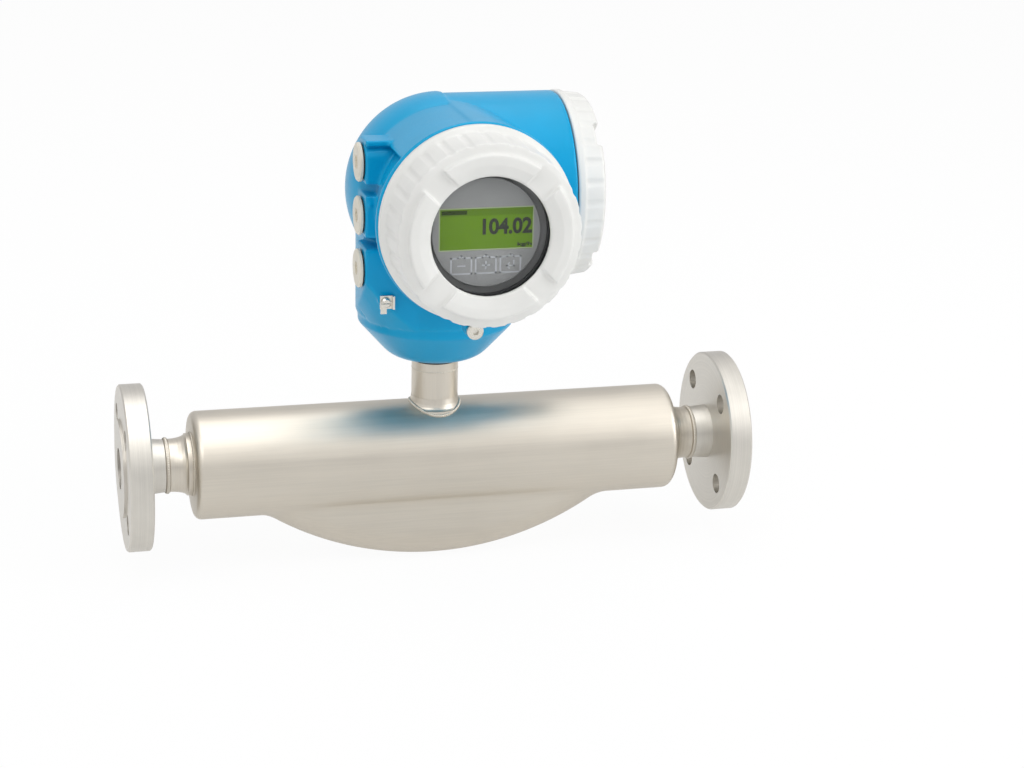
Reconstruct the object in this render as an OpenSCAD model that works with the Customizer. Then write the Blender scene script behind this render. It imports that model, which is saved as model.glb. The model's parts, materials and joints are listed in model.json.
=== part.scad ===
// Coriolis flow meter: a flanged twin-tube sensor with a turnable transmitter on its neck.
// The origin is the centre of the inlet sealing face. +X runs along the flow, +Y to the
// back and +Z up. All sizes are in millimetres.

/* [Pipe connection] */
// Distance between the two sealing faces
face_to_face = 440; // [420:5:520]
// Outside diameter of a flange
flange_d = 115; // [110:1:125]
// Thickness of a flange, sealing face included
flange_t = 18; // [14:1:20]
// Diameter of the raised sealing face
raised_face_d = 68; // [60:1:70]
// Height of the raised sealing face
raised_face_h = 2; // [1:0.5:3]
// Diameter of the bolt circle
bolt_circle_d = 85; // [84:1:90]
// Diameter of a bolt hole
bolt_hole_d = 14; // [12:0.5:15]
// Number of bolt holes in a flange
bolt_count = 4; // [4:4:8]
// Bore of the flanges and the manifolds
pipe_bore_d = 28.5; // [24:0.5:30]
// Diameter of the flange hub at its root
hub_root_d = 38.6; // [38:0.2:44]
// Diameter of the flange hub at its weld
hub_end_d = 36.6; // [35:0.2:37]
// Length of the flange hub
hub_l = 12; // [8:1:14]

/* [Manifolds] */
// Width of the weld between a hub and a manifold
weld_w = 3; // [2:0.5:4]
// Height of that weld above the hub
weld_h = 1; // [0.5:0.1:1.5]
// Diameter of a manifold where it enters the casing
nozzle_d = 43; // [40:0.5:48]
// Diameter of the manifold block inside the casing
block_d = 58; // [54:1:62]
// Length of the manifold block
block_l = 32; // [28:1:36]
// Depth of the sockets that hold the measuring tubes
socket_l = 12; // [8:1:14]

/* [Measuring tubes] */
// Outside diameter of a measuring tube
tube_d = 12.7; // [10:0.1:13]
// Wall of a measuring tube
tube_wall = 1.1; // [0.8:0.1:1.6]
// Distance between the axes of the two tubes
tube_pitch = 26; // [25:0.5:28]
// Depth of the tubes' lowest point below the pipe axis
tube_drop = 54; // [46:1:56]
// Radius of the bends at the ends of the tubes
bend_r = 40; // [30:1:50]
// Straight stretch between a manifold and a bend
straight_l = 8; // [6:1:14]
// Thickness of a brace plate
brace_t = 2; // [1.5:0.5:3]
// Width of metal around the tubes in a brace plate
brace_margin = 4; // [3:0.5:5]

/* [Drive and pickoffs] */
// Diameter of a coil
coil_d = 16; // [14:0.5:18]
// Diameter of a magnet
magnet_d = 8; // [7:0.5:9]
// Angle between the drive and a pickoff on the tubes' arc
pickoff_angle = 30; // [24:1:36]
// Thickness of the plates that carry coils and magnets
bracket_t = 1.5; // [1:0.5:2]

/* [Casing] */
// Outside diameter of the casing
casing_d = 75; // [72:1:80]
// Wall of the casing
casing_wall = 2.5; // [2:0.5:3]
// Distance from a sealing face to the casing
casing_start = 49; // [45:1:55]
// Distance of the casing axis below the pipe axis
casing_drop = 1.2; // [0:0.2:2]
// Radius of the casing's outer corners
corner_r = 5; // [3:0.5:6]
// Length of an end cap along the casing
end_cap_l = 8; // [7:1:12]
// Thickness of an end cap across the pipe
end_cap_t = 4; // [3:0.5:6]
// Depth of the belly below the pipe axis
belly_depth = 76.4; // [74:0.2:82]
// Radius of the belly's curve along the meter
belly_r = 213; // [195:1:230]
// Width of the belly
belly_w = 48; // [46:1:54]
// Wall of the belly
belly_wall = 2; // [1.5:0.5:2.5]

/* [Neck] */
// Outside diameter of the neck
neck_d = 32.4; // [31:0.2:36]
// Wall of the neck
neck_wall = 3; // [2:0.5:4]
// Height of the housing's underside above the pipe axis
neck_h = 70.5; // [66:0.5:90]
// Diameter of the weld collar at the foot of the neck
weld_collar_d = 40; // [38:1:46]
// Thickness of the seal under the housing
neck_seal_t = 3.4; // [2:0.2:4]
// Diameter of the spigot that carries the housing
spigot_d = 27; // [25:0.5:28]
// Length of the spigot inside the housing
spigot_l = 12; // [11:0.5:14]

/* [Housing] */
// Height of the barrel axes above the pipe axis
barrel_z = 189; // [188:0.5:200]
// Distance of the display axis to the right of the neck axis
display_shift = 2; // [0:0.5:4]
// Distance of the side barrel's axis in front of the neck axis
barrel_shift = 3; // [0:0.5:4]
// Diameter of the side barrel
barrel_d = 128; // [127:0.5:130]
// Diameter of the dome at the back and left
dome_d = 130.6; // [130.2:0.2:133]
// Diameter of the rim behind the display cover
rim_d = 131; // [129:0.5:134]
// Diameter of the front barrel at its root
front_barrel_d = 106; // [105.5:0.5:112]
// Diameter that it flares to behind the front rim
flare_d = 121; // [116:1:124]
// Diameter of its straight half, on the side barrel's side
wide_barrel_d = 125; // [118:1:126]
// Distance from the neck axis to the front rim
front_reach = 104; // [102:1:112]
// Length of the front rim
front_rim_l = 5; // [4:0.5:8]
// Distance from the neck axis to the side rim
side_reach = 81; // [80:1:90]
// Wall of the side barrel round the bore that takes a cover's collar
barrel_wall = 6.7; // [6.2:0.1:7.2]
// Bore of the electronics compartment
electronics_bore_d = 100; // [97:1:101]
// Wall of the dome
dome_wall = 5.3; // [4:0.1:7]
// Wall between the two compartments
partition_t = 4; // [3:0.5:5]
// Distance from the neck axis to that wall
partition_y = 44; // [43:0.5:46]
// Diameter of the housing's foot on the neck
foot_d = 44; // [42:1:50]
// Slope of the funnel above the foot, in degrees
funnel_angle = 48; // [44:1:52]
// Diameter of the funnel's upper end
funnel_d = 108; // [104:1:110]
// Height of the skirt's lower edge above the foot
skirt_h = 31.5; // [30:0.5:34]
// Height of the skirt's edge beyond the funnel
skirt_step = 1.5; // [1:0.5:3]

/* [Cable entries] */
// Distance from the neck axis to the entry face
entry_reach = 59.5; // [59:0.5:61]
// Distance of the entries in front of the neck axis
entry_y = 36; // [35:0.5:37]
// Distance between the entries
entry_pitch = 36; // [35.5:0.5:38]
// Distance of the middle entry below the barrel axis
entry_drop = 9; // [8:0.5:11]
// Height of the gaps between the three entry blocks
entry_gap_h = 7.8; // [6:0.2:8]
// Distance from the neck axis to the blocks' front faces
block_reach = 50; // [49.5:0.5:52]
// Radius of the shoulder under the roof
shoulder_r = 9; // [6:0.5:10]
// Thickness of the roof's front edge
roof_t = 3.8; // [3:0.2:5]
// Bore of an entry
entry_d = 20.4; // [18:0.2:20.6]
// Diameter of a blanking plug's head
plug_d = 26; // [25:0.5:27]
// Thickness of a blanking plug's head
plug_t = 2.4; // [2:0.2:4]
// Length of a blanking plug's shank
plug_shank_l = 12; // [9:1:12]

/* [Covers] */
// Diameter of a cover
cover_d = 129; // [128:0.5:130]
// Height of the display cover
display_cover_h = 42; // [39:0.5:44]
// Height of the connection cover
blind_cover_h = 20; // [19:0.5:26]
// Length of the collar that screws into the housing
collar_l = 12; // [10:0.5:12.5]
// Height of the smooth band behind the grip flutes
band_h = 5; // [4:0.5:6]
// Diameter at the foot of the display cover's fluted cone
cone_foot_d = 122; // [121:0.5:124]
// Diameter at the top of the display cover's fluted cone
cone_top_d = 119; // [117:0.5:120]
// Diameter of the display cover's front ring
front_ring_d = 106.5; // [105:0.5:110]
// Diameter of the window opening
window_d = 77; // [72:0.5:79]
// Thickness of the window
window_t = 4; // [3:0.5:4]
// Number of grip flutes around a cover
flute_count = 28; // [20:1:36]
// Radius of a grip flute's hollow
flute_r = 5; // [4:0.5:7]
// Depth of a grip flute
flute_depth = 1; // [0.5:0.1:1.2]
// Width of the four tool recesses
recess_w = 17; // [14:1:20]
// Depth of the four tool recesses
recess_depth = 4; // [2:0.5:4]
// Diameter of a cover lock's boss
lock_boss_d = 12; // [11:0.5:13]
// Gap between a cover and its lock screw
lock_gap = 2; // [1:0.5:3]

/* [Display] */
// Diameter of the display module
display_d = 92; // [88:1:96]
// Depth of the display's face behind the front of its cover
face_depth = 16; // [14:0.5:18]
// Width of the display panel
panel_w = 61.5; // [54:0.5:62]
// Height of the display panel
panel_h = 27.5; // [24:0.5:30]
// Diameter of the pin that the module turns on
display_pin_d = 16; // [12:1:20]

/* [Fits] */
// Gap between pieces that are welded or fixed together
fixed_gap = 0.1; // [0.05:0.05:0.2]
// Gap between pieces that move on each other
run_gap = 0.3; // [0.2:0.1:0.4]
// Radial gap in place of the cover threads
thread_gap = 0.4; // [0.3:0.1:0.5]

/* [Hidden] */
$fn = 96;

steel = "#cdc6b9";
bright_steel = "#d9d6cf";
blue = "#008ccd";
light_grey = "#e1e1de";
copper = "#b87333";
black = "#262626";
board_green = "#1f6b3a";
fascia_grey = "#808488";
beige = "#d8cfc0";
terminal_green = "#2f7d4f";
display_green = "#6a8c2c";
glass_tint = "#dfe8ea";

eps = 0.01;
edge = 1;
neck_x = face_to_face / 2;
hub_end = flange_t + hub_l;
casing_r = casing_d / 2;
casing_l = face_to_face - 2 * casing_start;

// Manifold and tube layout along the inlet half
end_gap = 4;
block_start = casing_start + end_cap_t + end_gap;
block_end = block_start + block_l;
socket_start = block_end - socket_l;
plenum_r = tube_pitch / 2 + tube_d / 2;
bend_start = block_end + straight_l;
half_span = neck_x - bend_start;
bend_angle = 2 * atan(tube_drop / half_span);
arc_r = half_span / sin(bend_angle) - bend_r;
arc_z = arc_r - tube_drop;
coil_lift = tube_d / 2 + coil_d / 2 + 2.5;

// Heights along the neck axis
seat_z = neck_h - run_gap - neck_seal_t;
head_rim_t = 6;
neck_r = neck_d / 2;
neck_bore_r = neck_r - neck_wall;
spigot_r = spigot_d / 2;
wire_bore_r = 8;
groove_h = 4;
groove_z = neck_h + 4;
groove_r = spigot_r - 2;
lock_thread_r = 3;

// Housing planes and radii
barrel_x = neck_x + display_shift;
barrel_y = -barrel_shift;
dome_r = dome_d / 2;
cover_bore_r = barrel_d / 2 - barrel_wall;
front_y = -front_reach;
rim_back_y = front_y + front_rim_l;
collar_bore_l = collar_l + 2;
side_x = neck_x + side_reach;
funnel_r = funnel_d / 2;
skirt_r = funnel_r + skirt_step;
skirt_z = neck_h + skirt_h;
funnel_round = 20;
well_r = 38;
well_z = neck_h + 22;
entry_x = neck_x - entry_reach;
entry_z = barrel_z - entry_drop;
entry_seal_t = 1;
block_front_y = -block_reach;
block_back_y = -20;
block_rise = 1.5;
roof_z = entry_z + 1.5 * entry_pitch - block_rise;
ground_x = neck_x - 46;
ground_z = skirt_z + 22;
ground_screw_r = 2;
pip_r = 1.6;
pip_reach = 3;

// Cover seats
seal_section = 2.8;
seal_recess = seal_section + run_gap;
collar_r = cover_bore_r - thread_gap;
seal_r = collar_r + thread_gap + seal_section / 2;
collar_wall = 4;
edge_break = 0.5;
lock_r = lock_boss_d / 2;
lock_y = -cover_d / 2 - lock_gap - lock_r + edge_break;
lock_screw_r = 2;
lock_thread_l = 11;

// ---------------------------------------------------------------- helpers

// Turns a part made along Z so that it runs along +X.
module along_x() rotate([90, 0, 90]) children();

// Turns a part made along Z so that it runs to the front.
module to_front() rotate([90, 0, 0]) children();

// Solid of revolution about Z from an outline of [radius, height] points.
module turned(outline) rotate_extrude() polygon(outline);

// Ring about Z between two radii and two heights.
module ring(inner, outer, low, high)
    turned([[inner, low], [outer, low], [outer, high], [inner, high]]);

// Places a part at both ends of the meter: as made at the inlet, mirrored at the outlet.
module at_outlet() translate([face_to_face, 0, 0]) mirror([1, 0, 0]) children();

// Places a part on the arc of the tubes with its Z towards the arc's centre.
module on_arc(angle)
    translate([neck_x, 0, arc_z]) rotate([0, -angle, 0]) translate([0, 0, -arc_r]) children();

// Frames of the two cover mouths: Z points out of the housing.
module on_front() translate([barrel_x, front_y, barrel_z]) to_front() children();
module on_side() translate([side_x, barrel_y, barrel_z]) along_x() children();

// Large block that keeps what lies in front of (side -1) or behind (side 1) a plane at y.
module half_space_y(y, side) translate([-500, side > 0 ? y : y - 1000, -500]) cube(1000);

// ---------------------------------------------------------------- pipe connection

module pipe_flange() along_x() difference() {
    turned([
        [pipe_bore_d / 2, 0], [raised_face_d / 2, 0], [raised_face_d / 2, raised_face_h],
        [flange_d / 2 - edge, raised_face_h], [flange_d / 2, raised_face_h + edge],
        [flange_d / 2, flange_t - edge], [flange_d / 2 - edge, flange_t],
        [hub_root_d / 2, flange_t], [hub_end_d / 2, hub_end], [pipe_bore_d / 2, hub_end]
    ]);
    for (i = [0 : bolt_count - 1])
        rotate((i + 0.5) * 360 / bolt_count) translate([bolt_circle_d / 2, 0, -eps])
            cylinder(d = bolt_hole_d, h = flange_t + 2 * eps);
}
module inlet_flange() color(bright_steel) pipe_flange();
module outlet_flange() color(bright_steel) at_outlet() pipe_flange();

// Nozzle, plenum and tube sockets of one end.
module manifold() {
    weld_start = hub_end + fixed_gap;
    weld_end = weld_start + weld_w;
    flare = nozzle_d / 2 - hub_end_d / 2;
    flare_l = casing_start - end_gap - weld_end;
    difference() {
        along_x() turned(concat(
            [[pipe_bore_d / 2, weld_start], [hub_end_d / 2, weld_start],
             [hub_end_d / 2 + weld_h, weld_start + weld_h / 2],
             [hub_end_d / 2 + weld_h, weld_end - weld_h / 2]],
            [for (a = [0 : 15 : 90])
                [hub_end_d / 2 + flare * (1 - cos(a)), weld_end + flare_l * sin(a)]],
            [[nozzle_d / 2, block_start], [block_d / 2 - edge, block_start],
             [block_d / 2, block_start + edge], [block_d / 2, block_end - edge],
             [block_d / 2 - edge, block_end], [0, block_end], [0, socket_start],
             [plenum_r, socket_start], [pipe_bore_d / 2, block_start]]));
        for (side = [-1, 1])
            translate([socket_start - eps, side * tube_pitch / 2, 0]) along_x()
                cylinder(d = tube_d + 2 * fixed_gap, h = socket_l + 2 * eps);
    }
}
module inlet_manifold() color(steel) manifold();
module outlet_manifold() color(steel) at_outlet() manifold();

// ---------------------------------------------------------------- measuring tubes

// Stations along a tube from socket to socket, each as [x, z, slope].
bend_steps = 6;
arc_steps = 20;
tube_sides = 16;
tube_stations = concat(
    [[socket_start + fixed_gap, 0, 0]],
    [for (i = [0 : bend_steps]) let (a = bend_angle * i / bend_steps)
        [bend_start + bend_r * sin(a), -bend_r * (1 - cos(a)), -a]],
    [for (i = [1 : arc_steps]) let (a = bend_angle * (2 * i / arc_steps - 1))
        [neck_x + arc_r * sin(a), arc_z - arc_r * cos(a), a]],
    [for (i = [1 : bend_steps]) let (a = bend_angle * (1 - i / bend_steps))
        [face_to_face - bend_start - bend_r * sin(a), -bend_r * (1 - cos(a)), a]],
    [[face_to_face - socket_start - fixed_gap, 0, 0]]);

// Rings of points of radius r, one ring at each station.
function tube_rings(r) = [for (s = tube_stations, k = [0 : tube_sides - 1])
    let (t = 360 * k / tube_sides)
    [s[0] - r * sin(t) * sin(s[2]), r * cos(t), s[1] + r * sin(t) * cos(s[2])]];

// Bent tube with an open bore, swept along the stations.
module measuring_tube() {
    n = tube_sides;
    last = (len(tube_stations) - 1) * n;
    inner = last + n;
    polyhedron(
        points = concat(tube_rings(tube_d / 2), tube_rings(tube_d / 2 - tube_wall)),
        faces = concat(
            [for (s = [0 : n : last - n], k = [0 : n - 1]) let (j = (k + 1) % n)
                [s + k, s + n + k, s + n + j, s + j]],
            [for (s = [inner : n : inner + last - n], k = [0 : n - 1]) let (j = (k + 1) % n)
                [s + k, s + j, s + n + j, s + n + k]],
            [for (k = [0 : n - 1]) let (j = (k + 1) % n) [k, j, inner + j, inner + k]],
            [for (k = [0 : n - 1]) let (j = (k + 1) % n)
                [last + j, last + k, inner + last + k, inner + last + j]]),
        convexity = 6);
}
module measuring_tube_front() color(bright_steel) translate([0, -tube_pitch / 2, 0]) measuring_tube();
module measuring_tube_rear() color(bright_steel) translate([0, tube_pitch / 2, 0]) measuring_tube();

// Plate with round ends across both tubes, square to X.
module brace_plate() difference() {
    union() {
        for (side = [-1, 1]) translate([-brace_t / 2, side * tube_pitch / 2, 0]) along_x()
            cylinder(r = tube_d / 2 + brace_margin, h = brace_t);
        translate([-brace_t / 2, -tube_pitch / 2, -tube_d / 2 - brace_margin])
            cube([brace_t, tube_pitch, tube_d + 2 * brace_margin]);
    }
    for (side = [-1, 1]) translate([-brace_t, side * tube_pitch / 2, 0]) along_x()
        cylinder(r = tube_d / 2 + fixed_gap, h = 2 * brace_t);
}
module brace_pair() {
    translate([bend_start - straight_l / 2, 0, 0]) brace_plate();
    translate([bend_start, 0, -bend_r]) rotate([0, bend_angle / 2, 0])
        translate([0, 0, bend_r]) brace_plate();
}
module inlet_brace_plates() color(steel) brace_pair();
module outlet_brace_plates() color(steel) at_outlet() brace_pair();

// ---------------------------------------------------------------- drive, pickoffs, sensors

// Distance of the coil plates' inner faces from the middle, and the gap of magnet and coil there
coil_face_y = tube_pitch / 2 - 2.5;
coil_end_gap = 2.5;

// Plate that stands on one tube at the given side and carries a coil or a magnet.
module bracket(side) difference() {
    translate([-coil_d / 2, side > 0 ? coil_face_y : -coil_face_y - bracket_t, 0])
        cube([coil_d, bracket_t, coil_lift + coil_d / 4]);
    translate([-coil_d, side * tube_pitch / 2, 0]) along_x()
        cylinder(r = tube_d / 2 + fixed_gap, h = 2 * coil_d);
}
module coil() {
    bracket(1);
    translate([0, coil_face_y, coil_lift]) to_front()
        ring(magnet_d / 2 + 2 * run_gap, coil_d / 2, 0, coil_face_y - coil_end_gap);
}
module magnet() {
    bracket(-1);
    translate([0, coil_face_y - 2 * coil_end_gap, coil_lift]) to_front()
        cylinder(d = magnet_d, h = 2 * (coil_face_y - coil_end_gap));
}
module drive_coil() color(copper) on_arc(0) coil();
module drive_magnet() color(bright_steel) on_arc(0) magnet();
module inlet_pickoff_coil() color(copper) on_arc(-pickoff_angle) coil();
module inlet_pickoff_magnet() color(bright_steel) on_arc(-pickoff_angle) magnet();
module outlet_pickoff_coil() color(copper) on_arc(pickoff_angle) coil();
module outlet_pickoff_magnet() color(bright_steel) on_arc(pickoff_angle) magnet();

// Small resistance thermometer in its saddle on the front tube.
saddle_l = 10;
saddle_w = 7;
saddle_rise = 4;
module temperature_sensor() color(beige) on_arc(-pickoff_angle / 2) difference() {
    translate([-saddle_l / 2, -(tube_pitch + saddle_w) / 2, 0])
        cube([saddle_l, saddle_w, tube_d / 2 + saddle_rise]);
    translate([-saddle_l, -tube_pitch / 2, 0]) along_x()
        cylinder(r = tube_d / 2 + fixed_gap, h = 2 * saddle_l);
}

// Trunk of wires from the feedthrough to the drive, with a branch to each pickoff.
trunk_r = 2.2;
branch_r = 1.4;
branch_z = arc_z - (arc_r - coil_lift - coil_d / 2) * cos(pickoff_angle) + branch_r + run_gap;
branch_reach = (arc_r - coil_lift - coil_d / 2) * sin(pickoff_angle);
module sensor_harness() color(black) {
    trunk_low = coil_lift + coil_d / 2 - tube_drop + run_gap;
    translate([neck_x, coil_face_y / 2, trunk_low])
        cylinder(r = trunk_r, h = feed_z - fixed_gap - trunk_low);
    translate([neck_x - branch_reach, coil_face_y / 2, branch_z]) along_x()
        cylinder(r = branch_r, h = 2 * branch_reach);
}

// ---------------------------------------------------------------- casing

// Cylinder on the casing axis, from one end of the casing to the other.
module casing_core(r) translate([casing_start, 0, -casing_drop]) along_x() cylinder(r = r, h = casing_l);

// Boat-shaped body of the belly, drawn in by the given amount on all sides.
module belly_body(inset) {
    r = belly_r - inset;
    w = belly_w / 2 - inset;
    reach = 2 * acos((belly_r - belly_depth + casing_r + casing_drop) / belly_r) + 4;
    low = casing_r / 2;
    translate([neck_x, 0, belly_r - belly_depth]) to_front() rotate(-90 - reach / 2)
        rotate_extrude(angle = reach) {
            translate([r - w, 0]) circle(w);
            translate([belly_r - belly_depth + low, -w])
                square([belly_depth - low - w - inset, 2 * w]);
        }
}
module casing_tube() color(steel) difference() {
    translate([casing_start + end_cap_l + fixed_gap, 0, -casing_drop]) along_x()
        ring(casing_r - casing_wall, casing_r, 0, casing_l - 2 * (end_cap_l + fixed_gap));
    belly_body(belly_wall);
    translate([neck_x, 0, 0]) cylinder(r = neck_bore_r, h = casing_d);
}
module casing_belly() color(steel) difference() {
    belly_body(0);
    belly_body(belly_wall);
    casing_core(casing_r + fixed_gap);
}
module end_cap() difference() {
    translate([casing_start, 0, -casing_drop]) along_x() turned(concat(
        [[0, 0], [casing_r - corner_r, 0]],
        [for (a = [10 : 10 : 80]) [casing_r - corner_r * (1 - sin(a)), corner_r * (1 - cos(a))]],
        [[casing_r, corner_r], [casing_r, end_cap_l], [casing_r - casing_wall, end_cap_l],
         [casing_r - casing_wall, end_cap_t], [0, end_cap_t]]));
    translate([casing_start - eps, 0, 0]) along_x()
        cylinder(r = nozzle_d / 2 + fixed_gap, h = end_cap_t + 2 * eps);
}
module inlet_end_cap() color(steel) end_cap();
module outlet_end_cap() color(steel) at_outlet() end_cap();

// ---------------------------------------------------------------- neck

module neck_tube() color(steel) difference() {
    translate([neck_x, 0, 0]) ring(neck_bore_r, neck_r, 0, seat_z - head_rim_t - fixed_gap);
    casing_core(casing_r + fixed_gap);
}
module neck_weld_collar() color(steel) difference() {
    collar_foot = casing_r - 6;
    collar_r = weld_collar_d / 2;
    lip = collar_r - neck_r;
    translate([neck_x, 0, 0]) turned(concat(
        [[neck_r + fixed_gap, 0], [collar_r, 0]],
        [for (a = [0 : 15 : 75])
            [collar_r - (lip - 0.3) * sin(a), collar_foot + 2 + 2 * lip * (1 - cos(a))]],
        [[neck_r + fixed_gap, collar_foot + 2 + 2 * lip]]));
    casing_core(casing_r + fixed_gap);
}

// Sealed disc of glass and pins that carries the signals through the neck.
feed_t = 6;
feed_z = seat_z - head_rim_t - 14;
module feedthrough() color(beige) translate([neck_x, 0, feed_z]) {
    cylinder(r = neck_bore_r - fixed_gap, h = feed_t);
    for (a = [0 : 45 : 315]) rotate(a) translate([neck_bore_r - 4, 0, -3])
        cylinder(d = 1.2, h = feed_t + 6, $fn = 24);
}

// Head of the neck: the seat and the grooved spigot that the housing turns on.
module neck_head() color(bright_steel) translate([neck_x, 0, 0]) turned([
    [wire_bore_r, seat_z - head_rim_t], [neck_r, seat_z - head_rim_t], [neck_r, seat_z],
    [spigot_r, seat_z], [spigot_r, groove_z], [groove_r, groove_z],
    [groove_r, groove_z + groove_h], [spigot_r, groove_z + groove_h],
    [spigot_r, neck_h + spigot_l - edge], [spigot_r - edge, neck_h + spigot_l],
    [wire_bore_r, neck_h + spigot_l]
]);
module neck_seal() color(black) translate([neck_x, 0, 0])
    ring(spigot_r + fixed_gap, neck_r - 0.2, seat_z, seat_z + neck_seal_t);

// ---------------------------------------------------------------- housing

// Funnel and skirt that lead from the neck up to the barrels.
module housing_base() translate([neck_x, 0, 0]) {
    turned(concat(
        [[0, neck_h]],
        [for (a = [0 : 8 : funnel_angle])
            [foot_d / 2 + funnel_round * sin(a), neck_h + funnel_round * (1 - cos(a))]],
        [[funnel_r, neck_h + funnel_round * (1 - cos(funnel_angle))
            + (funnel_r - foot_d / 2 - funnel_round * sin(funnel_angle)) * tan(funnel_angle)],
         [funnel_r, skirt_z], [skirt_r, skirt_z + skirt_step],
         [skirt_r, barrel_z - 24], [0, barrel_z - 24]]));
}

// Side view of the entry block in (y, z): a roof over a round shoulder, cut away at the back
// so that it stays within the dome.
module block_outline() {
    shoulder_z = roof_z - roof_t - shoulder_r;
    polygon([
        [block_front_y, roof_z - roof_t], [block_front_y, roof_z], [block_back_y - 10, roof_z],
        [block_back_y, roof_z - 12], [block_back_y, skirt_z],
        [block_front_y, skirt_z], [block_front_y, shoulder_z],
        [block_front_y + shoulder_r, shoulder_z], [block_front_y + shoulder_r, roof_z - roof_t]
    ]);
    translate([block_front_y + shoulder_r, shoulder_z]) circle(shoulder_r);
}

// Three blocks on the left that carry the cable entries, with open gaps between them.
module entry_blocks() intersection() {
    difference() {
        translate([entry_x, 0, 0]) along_x() linear_extrude(barrel_x - entry_x) block_outline();
        for (side = [-1, 1])
            translate([entry_x - 1, block_front_y - 1, entry_z + block_rise + side * entry_pitch / 2])
                translate([0, 0, -entry_gap_h / 2])
                    cube([barrel_x - entry_x, block_reach, entry_gap_h]);
    }
    translate([neck_x, 0, skirt_z]) cylinder(r1 = skirt_r, r2 = skirt_r + 160, h = 256);
}

// Boss under a cover's rim that takes its lock screw, made along Z with the rim at z = 0.
module lock_boss(h = 14) {
    translate([0, lock_y, 0]) cylinder(r = lock_r, h = h);
    translate([-lock_r, lock_y, 0]) cube([2 * lock_r, -lock_y - cover_bore_r - 1, h]);
}
module housing_outside() {
    housing_base();
    translate([barrel_x, barrel_y, barrel_z]) {
        intersection() {
            sphere(dome_r, $fn = 128);
            translate([-200, -200, -200]) cube([200, 400, 400]);
        }
        translate([-8, 0, 0]) along_x() cylinder(d = barrel_d, h = side_x - barrel_x + 8);
    }
    translate([barrel_x, 0, barrel_z]) to_front() turned([
        [0, barrel_shift], [front_barrel_d / 2, barrel_shift], [front_barrel_d / 2, partition_y],
        [flare_d / 2, -rim_back_y - 1], [rim_d / 2 - edge, -rim_back_y], [rim_d / 2, -rim_back_y + edge],
        [rim_d / 2, front_reach - edge], [rim_d / 2 - edge, front_reach], [0, front_reach]]);
    translate([barrel_x, 0, barrel_z]) to_front() rotate(-90)
        rotate_extrude(angle = 180) translate([0, barrel_shift])
            square([wide_barrel_d / 2, -rim_back_y - barrel_shift]);
    // the same half goes on over the roof, a small step lower
    intersection() {
        translate([barrel_x, -barrel_shift, barrel_z]) to_front()
            cylinder(d = wide_barrel_d - (dome_d - barrel_d), h = -rim_back_y - barrel_shift);
        translate([entry_x, front_y, roof_z - roof_t]) cube([barrel_x - entry_x, front_reach, barrel_d]);
    }
    entry_blocks();
    // small locating pip on the middle block
    translate([entry_x + pip_reach, block_front_y, entry_z + 10]) sphere(pip_r);
    on_front() mirror([0, 0, 1]) lock_boss();
    on_side() mirror([0, 0, 1]) rotate(45) lock_boss();
    ground_frame() translate([0, 0, -ground_pad_t]) cylinder(r = ground_pad_r, h = 2 * ground_pad_t);
}

// Frame of the ground terminal: Z points out of the lower entry block's front face.
module ground_frame() translate([ground_x, block_front_y, ground_z]) to_front() children();
ground_pad_r = 5;
ground_pad_t = 1.2;

module housing() color(blue) difference() {
    housing_outside();
    // connection compartment, behind the partition
    intersection() {
        translate([barrel_x, barrel_y, barrel_z]) {
            along_x() cylinder(r = cover_bore_r, h = side_x - barrel_x + eps);
            intersection() {
                sphere(dome_r - dome_wall, $fn = 128);
                translate([-200, -200, -200]) cube([201, 400, 400]);
            }
        }
        half_space_y(-partition_y, 1);
    }
    // mouths of the covers with the recesses for their seals
    on_side() mirror([0, 0, 1]) cover_mouth();
    on_front() mirror([0, 0, 1]) {
        cover_mouth();
        translate([0, 0, -eps])
            cylinder(d = electronics_bore_d, h = front_reach - partition_y - partition_t + eps);
    }
    // well above the neck and the socket for its spigot
    translate([neck_x, 0, well_z]) cylinder(r = well_r, h = barrel_z - well_z);
    translate([neck_x, 0, neck_h - eps]) cylinder(r = spigot_r + run_gap, h = well_z - neck_h + 2 * eps);
    // cable entries
    for (i = [-1 : 1]) translate([entry_x - 1, -entry_y, entry_z + i * entry_pitch]) along_x()
        cylinder(d = entry_d, h = entry_reach - 10);
    // thread of the swivel lock, at the back
    translate([neck_x, spigot_r, groove_z + groove_h / 2]) rotate([-90, 0, 0])
        cylinder(r = lock_thread_r + fixed_gap, h = funnel_r);
    // threads of the cover locks and the ground screw
    on_front() mirror([0, 0, 1]) lock_thread();
    on_side() mirror([0, 0, 1]) rotate(45) lock_thread();
    ground_frame() translate([0, 0, -8]) cylinder(r = ground_screw_r + fixed_gap, h = 10);
}

// Bore for a cover's collar and the recess for its seal, going down from z = 0.
module cover_mouth() {
    translate([0, 0, -eps]) cylinder(r = cover_bore_r, h = collar_bore_l);
    translate([0, 0, -eps]) cylinder(r = seal_r + seal_section / 2 + run_gap, h = seal_recess + eps);
}
module lock_thread()
    translate([0, lock_y, -eps]) cylinder(r = lock_screw_r + fixed_gap, h = lock_thread_l);

// ---------------------------------------------------------------- small parts of the housing

// Set screw whose tip reaches into the spigot's groove.
module swivel_lock_screw() color(bright_steel)
    translate([neck_x, 0, groove_z + groove_h / 2]) rotate([-90, 0, 0]) difference() {
        tip = groove_r + run_gap;
        shoulder = spigot_r + run_gap + 1;
        head = spigot_r + 12;
        turned([[0, tip], [lock_thread_r / 2, tip], [lock_thread_r / 2, shoulder],
                [lock_thread_r, shoulder + 1.5], [lock_thread_r, head], [0, head]]);
        translate([0, 0, head - 3]) cylinder(d = lock_thread_r, h = 4, $fn = 6);
    }

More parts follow.
